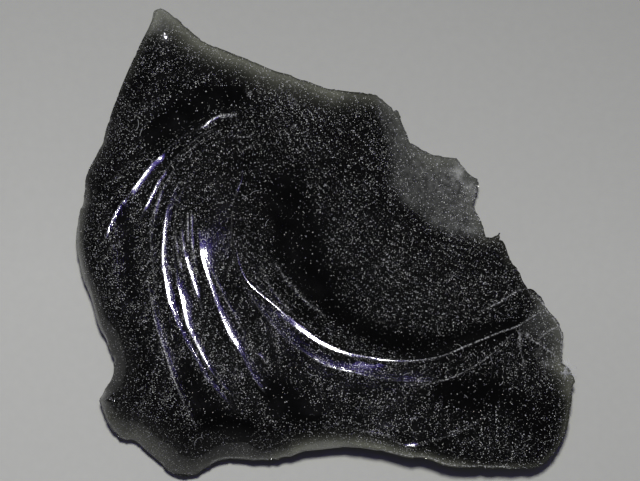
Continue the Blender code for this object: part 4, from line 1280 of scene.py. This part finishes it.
def lint_material():
    """Pale textile fibre."""
    material = bpy.data.materials.new("lint")
    material.use_nodes = True
    tree = material.node_tree
    shader = tree.nodes["Principled BSDF"]
    place = new_node(tree, "ShaderNodeTexCoord", -900, 0).outputs["Object"]
    shade = clouds(tree, place, LINT_SHADES, -500, 0)
    link(tree, mixed(tree, shade, *LINT_COLOURS, -300, 0), shader.inputs["Base Color"])
    shader.inputs["Roughness"].default_value = LINT_ROUGHNESS
    return material


def floor_material(colour):
    """Plain matt board with a barely visible tooth, and painted shade that makes it darker towards its far
    right and its far end.
    """
    material = bpy.data.materials.new("floor")
    material.use_nodes = True
    tree = material.node_tree
    shader = tree.nodes["Principled BSDF"]
    place = new_node(tree, "ShaderNodeTexCoord", -1100, 0).outputs["Object"]
    tooth = clouds(tree, place, FLOOR_TOOTH, -500, 0)
    split = new_node(tree, "ShaderNodeSeparateXYZ", -900, -200)
    link(tree, place, split.inputs["Vector"])
    # painted shade: the floor's colour darkens towards +X and +Y in place of the light falling off
    across = mapped(tree, split.outputs["X"], *FLOOR_PAINTED_SHADE_X, -700, -200)
    deep = mapped(tree, split.outputs["Y"], *FLOOR_PAINTED_SHADE_Y, -700, -450)
    fall = math_node(tree, "MULTIPLY", across, deep, -550, -200)
    level = math_node(tree, "MULTIPLY", tooth, fall, -450, -100)
    link(tree, mixed(tree, level, (0.0, 0.0, 0.0), tuple(colour), -300, 0), shader.inputs["Base Color"])
    shader.inputs["Roughness"].default_value = FLOOR_ROUGHNESS
    shader.inputs["Specular IOR Level"].default_value = FLOOR_SPECULAR
    return material


# ---------------------------------------------------------------- operators

class MESH_OT_obsidian_stone(bpy.types.Operator):
    """Build the stone with its fracture face, flaked underside and glass"""

    bl_idname = "mesh.obsidian_stone"
    bl_label = "Stone"

    def execute(self, context):
        bm, values = stone_mesh(Face(context.scene.obsidian_stone))
        glass = obsidian_material(context.scene.obsidian_finish)
        piece = finished_piece("stone", bm, [glass], STONE_ARRIS)
        for name, held in values.items():
            made = piece.data.attributes.new(name, "FLOAT", "POINT")
            made.data.foreach_set("value", held.astype(np.float32))
        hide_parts(NODE)
        return {"FINISHED"}


class MESH_OT_obsidian_lint(bpy.types.Operator):
    """Lay short fibres of lint on the face"""

    bl_idname = "mesh.obsidian_lint"
    bl_label = "Lint"

    def execute(self, context):
        bm = bmesh.new()
        plan = fibre_plan(context.scene.obsidian_finish.lint)
        draw = np.random.default_rng(THICKNESS_DRAW)
        for path in fibre_paths(Face(context.scene.obsidian_stone), plan):
            add_fibre(bm, path, draw.uniform(*FIBRE_RADII))
        finished_piece("lint", bm, [lint_material()], LINT_ARRIS)
        return {"FINISHED"}


class SCENE_OT_obsidian_stage(bpy.types.Operator):
    """Set up the plain floor, the lights and the camera"""

    bl_idname = "scene.obsidian_stage"
    bl_label = "Stage"

    def execute(self, context):
        settings = context.scene.obsidian_stage
        add_floor(settings.floor_colour)
        add_lights(settings.key_power, settings.fill_level)
        add_camera()
        context.scene.view_settings.view_transform = "Standard"
        return {"FINISHED"}


def add_floor(colour):
    """The plain floor at the height of the resting facet."""
    bm = bmesh.new()
    bmesh.ops.create_grid(bm, x_segments=1, y_segments=1, size=FLOOR_SIZE / 2.0)
    mesh = bpy.data.meshes.new("floor")
    bm.to_mesh(mesh)
    bm.free()
    mesh.materials.append(floor_material(colour))
    floor = bpy.data.objects.new("floor", mesh)
    bpy.context.scene.collection.objects.link(floor)


def area_light(name, place, size, power, colour):
    """A round light that faces the origin."""
    data = bpy.data.lights.new(name, "AREA")
    data.shape = "DISK"
    data.size = size
    data.energy = power
    data.color = colour
    lamp = bpy.data.objects.new(name, data)
    lamp.location = place
    lamp.rotation_mode = "QUATERNION"
    lamp.rotation_quaternion = (-Vector(place)).to_track_quat("-Z", "Y")
    bpy.context.scene.collection.objects.link(lamp)


def add_lights(power, fill):
    """The key light, the halo round it, and surroundings that are brightest at the horizon."""
    area_light("key", KEY_PLACE, KEY_SIZE, power, KEY_COLOUR)
    area_light("halo", KEY_PLACE, HALO_SIZE, power * HALO_SHARE, HALO_COLOUR)
    world = bpy.data.worlds.new("surroundings")
    world.use_nodes = True
    tree = world.node_tree
    background = tree.nodes["Background"]
    ray = new_node(tree, "ShaderNodeTexCoord", -900, 0).outputs["Generated"]
    split = new_node(tree, "ShaderNodeSeparateXYZ", -700, 0)
    link(tree, ray, split.inputs["Vector"])
    level = mapped(tree, split.outputs["Z"], *HORIZON, fill, ZENITH_LEVEL, -500, 0)
    link(tree, level, background.inputs["Strength"])
    background.inputs["Color"].default_value = (1.0, 1.0, 1.0, 1.0)
    bpy.context.scene.world = world


def add_camera():
    """The camera, almost straight above the stone."""
    data = bpy.data.cameras.new("camera")
    data.sensor_width = SENSOR
    distance = (Vector(CAMERA_PLACE) - Vector(CAMERA_AIM)).length
    data.lens = SENSOR * distance / PICTURE_WIDTH
    data.clip_start = 0.01
    data.clip_end = 10.0
    camera = bpy.data.objects.new("camera", data)
    camera.location = CAMERA_PLACE
    camera.rotation_mode = "QUATERNION"
    look = (Vector(CAMERA_AIM) - Vector(CAMERA_PLACE)).normalized()
    right = look.cross(Vector((0.0, 1.0, 0.0))).normalized()
    camera.rotation_quaternion = Matrix((right, right.cross(look), -look)).transposed().to_quaternion()
    bpy.context.scene.collection.objects.link(camera)
    bpy.context.scene.camera = camera


class VIEW3D_PT_obsidian(bpy.types.Panel):
    """Sizes, colours and the buttons that build each piece"""

    bl_label = "Obsidian"
    bl_idname = "VIEW3D_PT_obsidian"
    bl_space_type = "VIEW_3D"
    bl_region_type = "UI"
    bl_category = "Obsidian"

    def draw(self, context):
        for settings, names, button in PANEL_ROWS:
            box = self.layout.box()
            for name in names:
                box.prop(getattr(context.scene, settings), name)
            box.operator(button)


PANEL_ROWS = (
    ("obsidian_stone", ("dome_slope", "ripple_height", "lip_rounding", "nicks"), "mesh.obsidian_stone"),
    ("obsidian_finish", ("body_colour", "thin_colour", "frost_colour", "dust_colour", "dust", "lint"),
     "mesh.obsidian_lint"),
    ("obsidian_stage", ("floor_colour", "key_power", "fill_level"), "scene.obsidian_stage"),
)
GROUPS = {
    "obsidian_stone": ObsidianStone, "obsidian_finish": ObsidianFinish, "obsidian_stage": ObsidianStage,
}
CLASSES = (
    *GROUPS.values(), MESH_OT_obsidian_stone, MESH_OT_obsidian_lint, SCENE_OT_obsidian_stage,
    VIEW3D_PT_obsidian,
)


def register():
    for made in CLASSES:
        bpy.utils.register_class(made)
    for name, group in GROUPS.items():
        setattr(bpy.types.Scene, name, bpy.props.PointerProperty(type=group))


def unregister():
    for name in GROUPS:
        delattr(bpy.types.Scene, name)
    for made in reversed(CLASSES):
        bpy.utils.unregister_class(made)


def main():
    register()
    bpy.ops.mesh.obsidian_stone()
    bpy.ops.mesh.obsidian_lint()
    bpy.ops.scene.obsidian_stage()


if __name__ == "__main__":
    main()
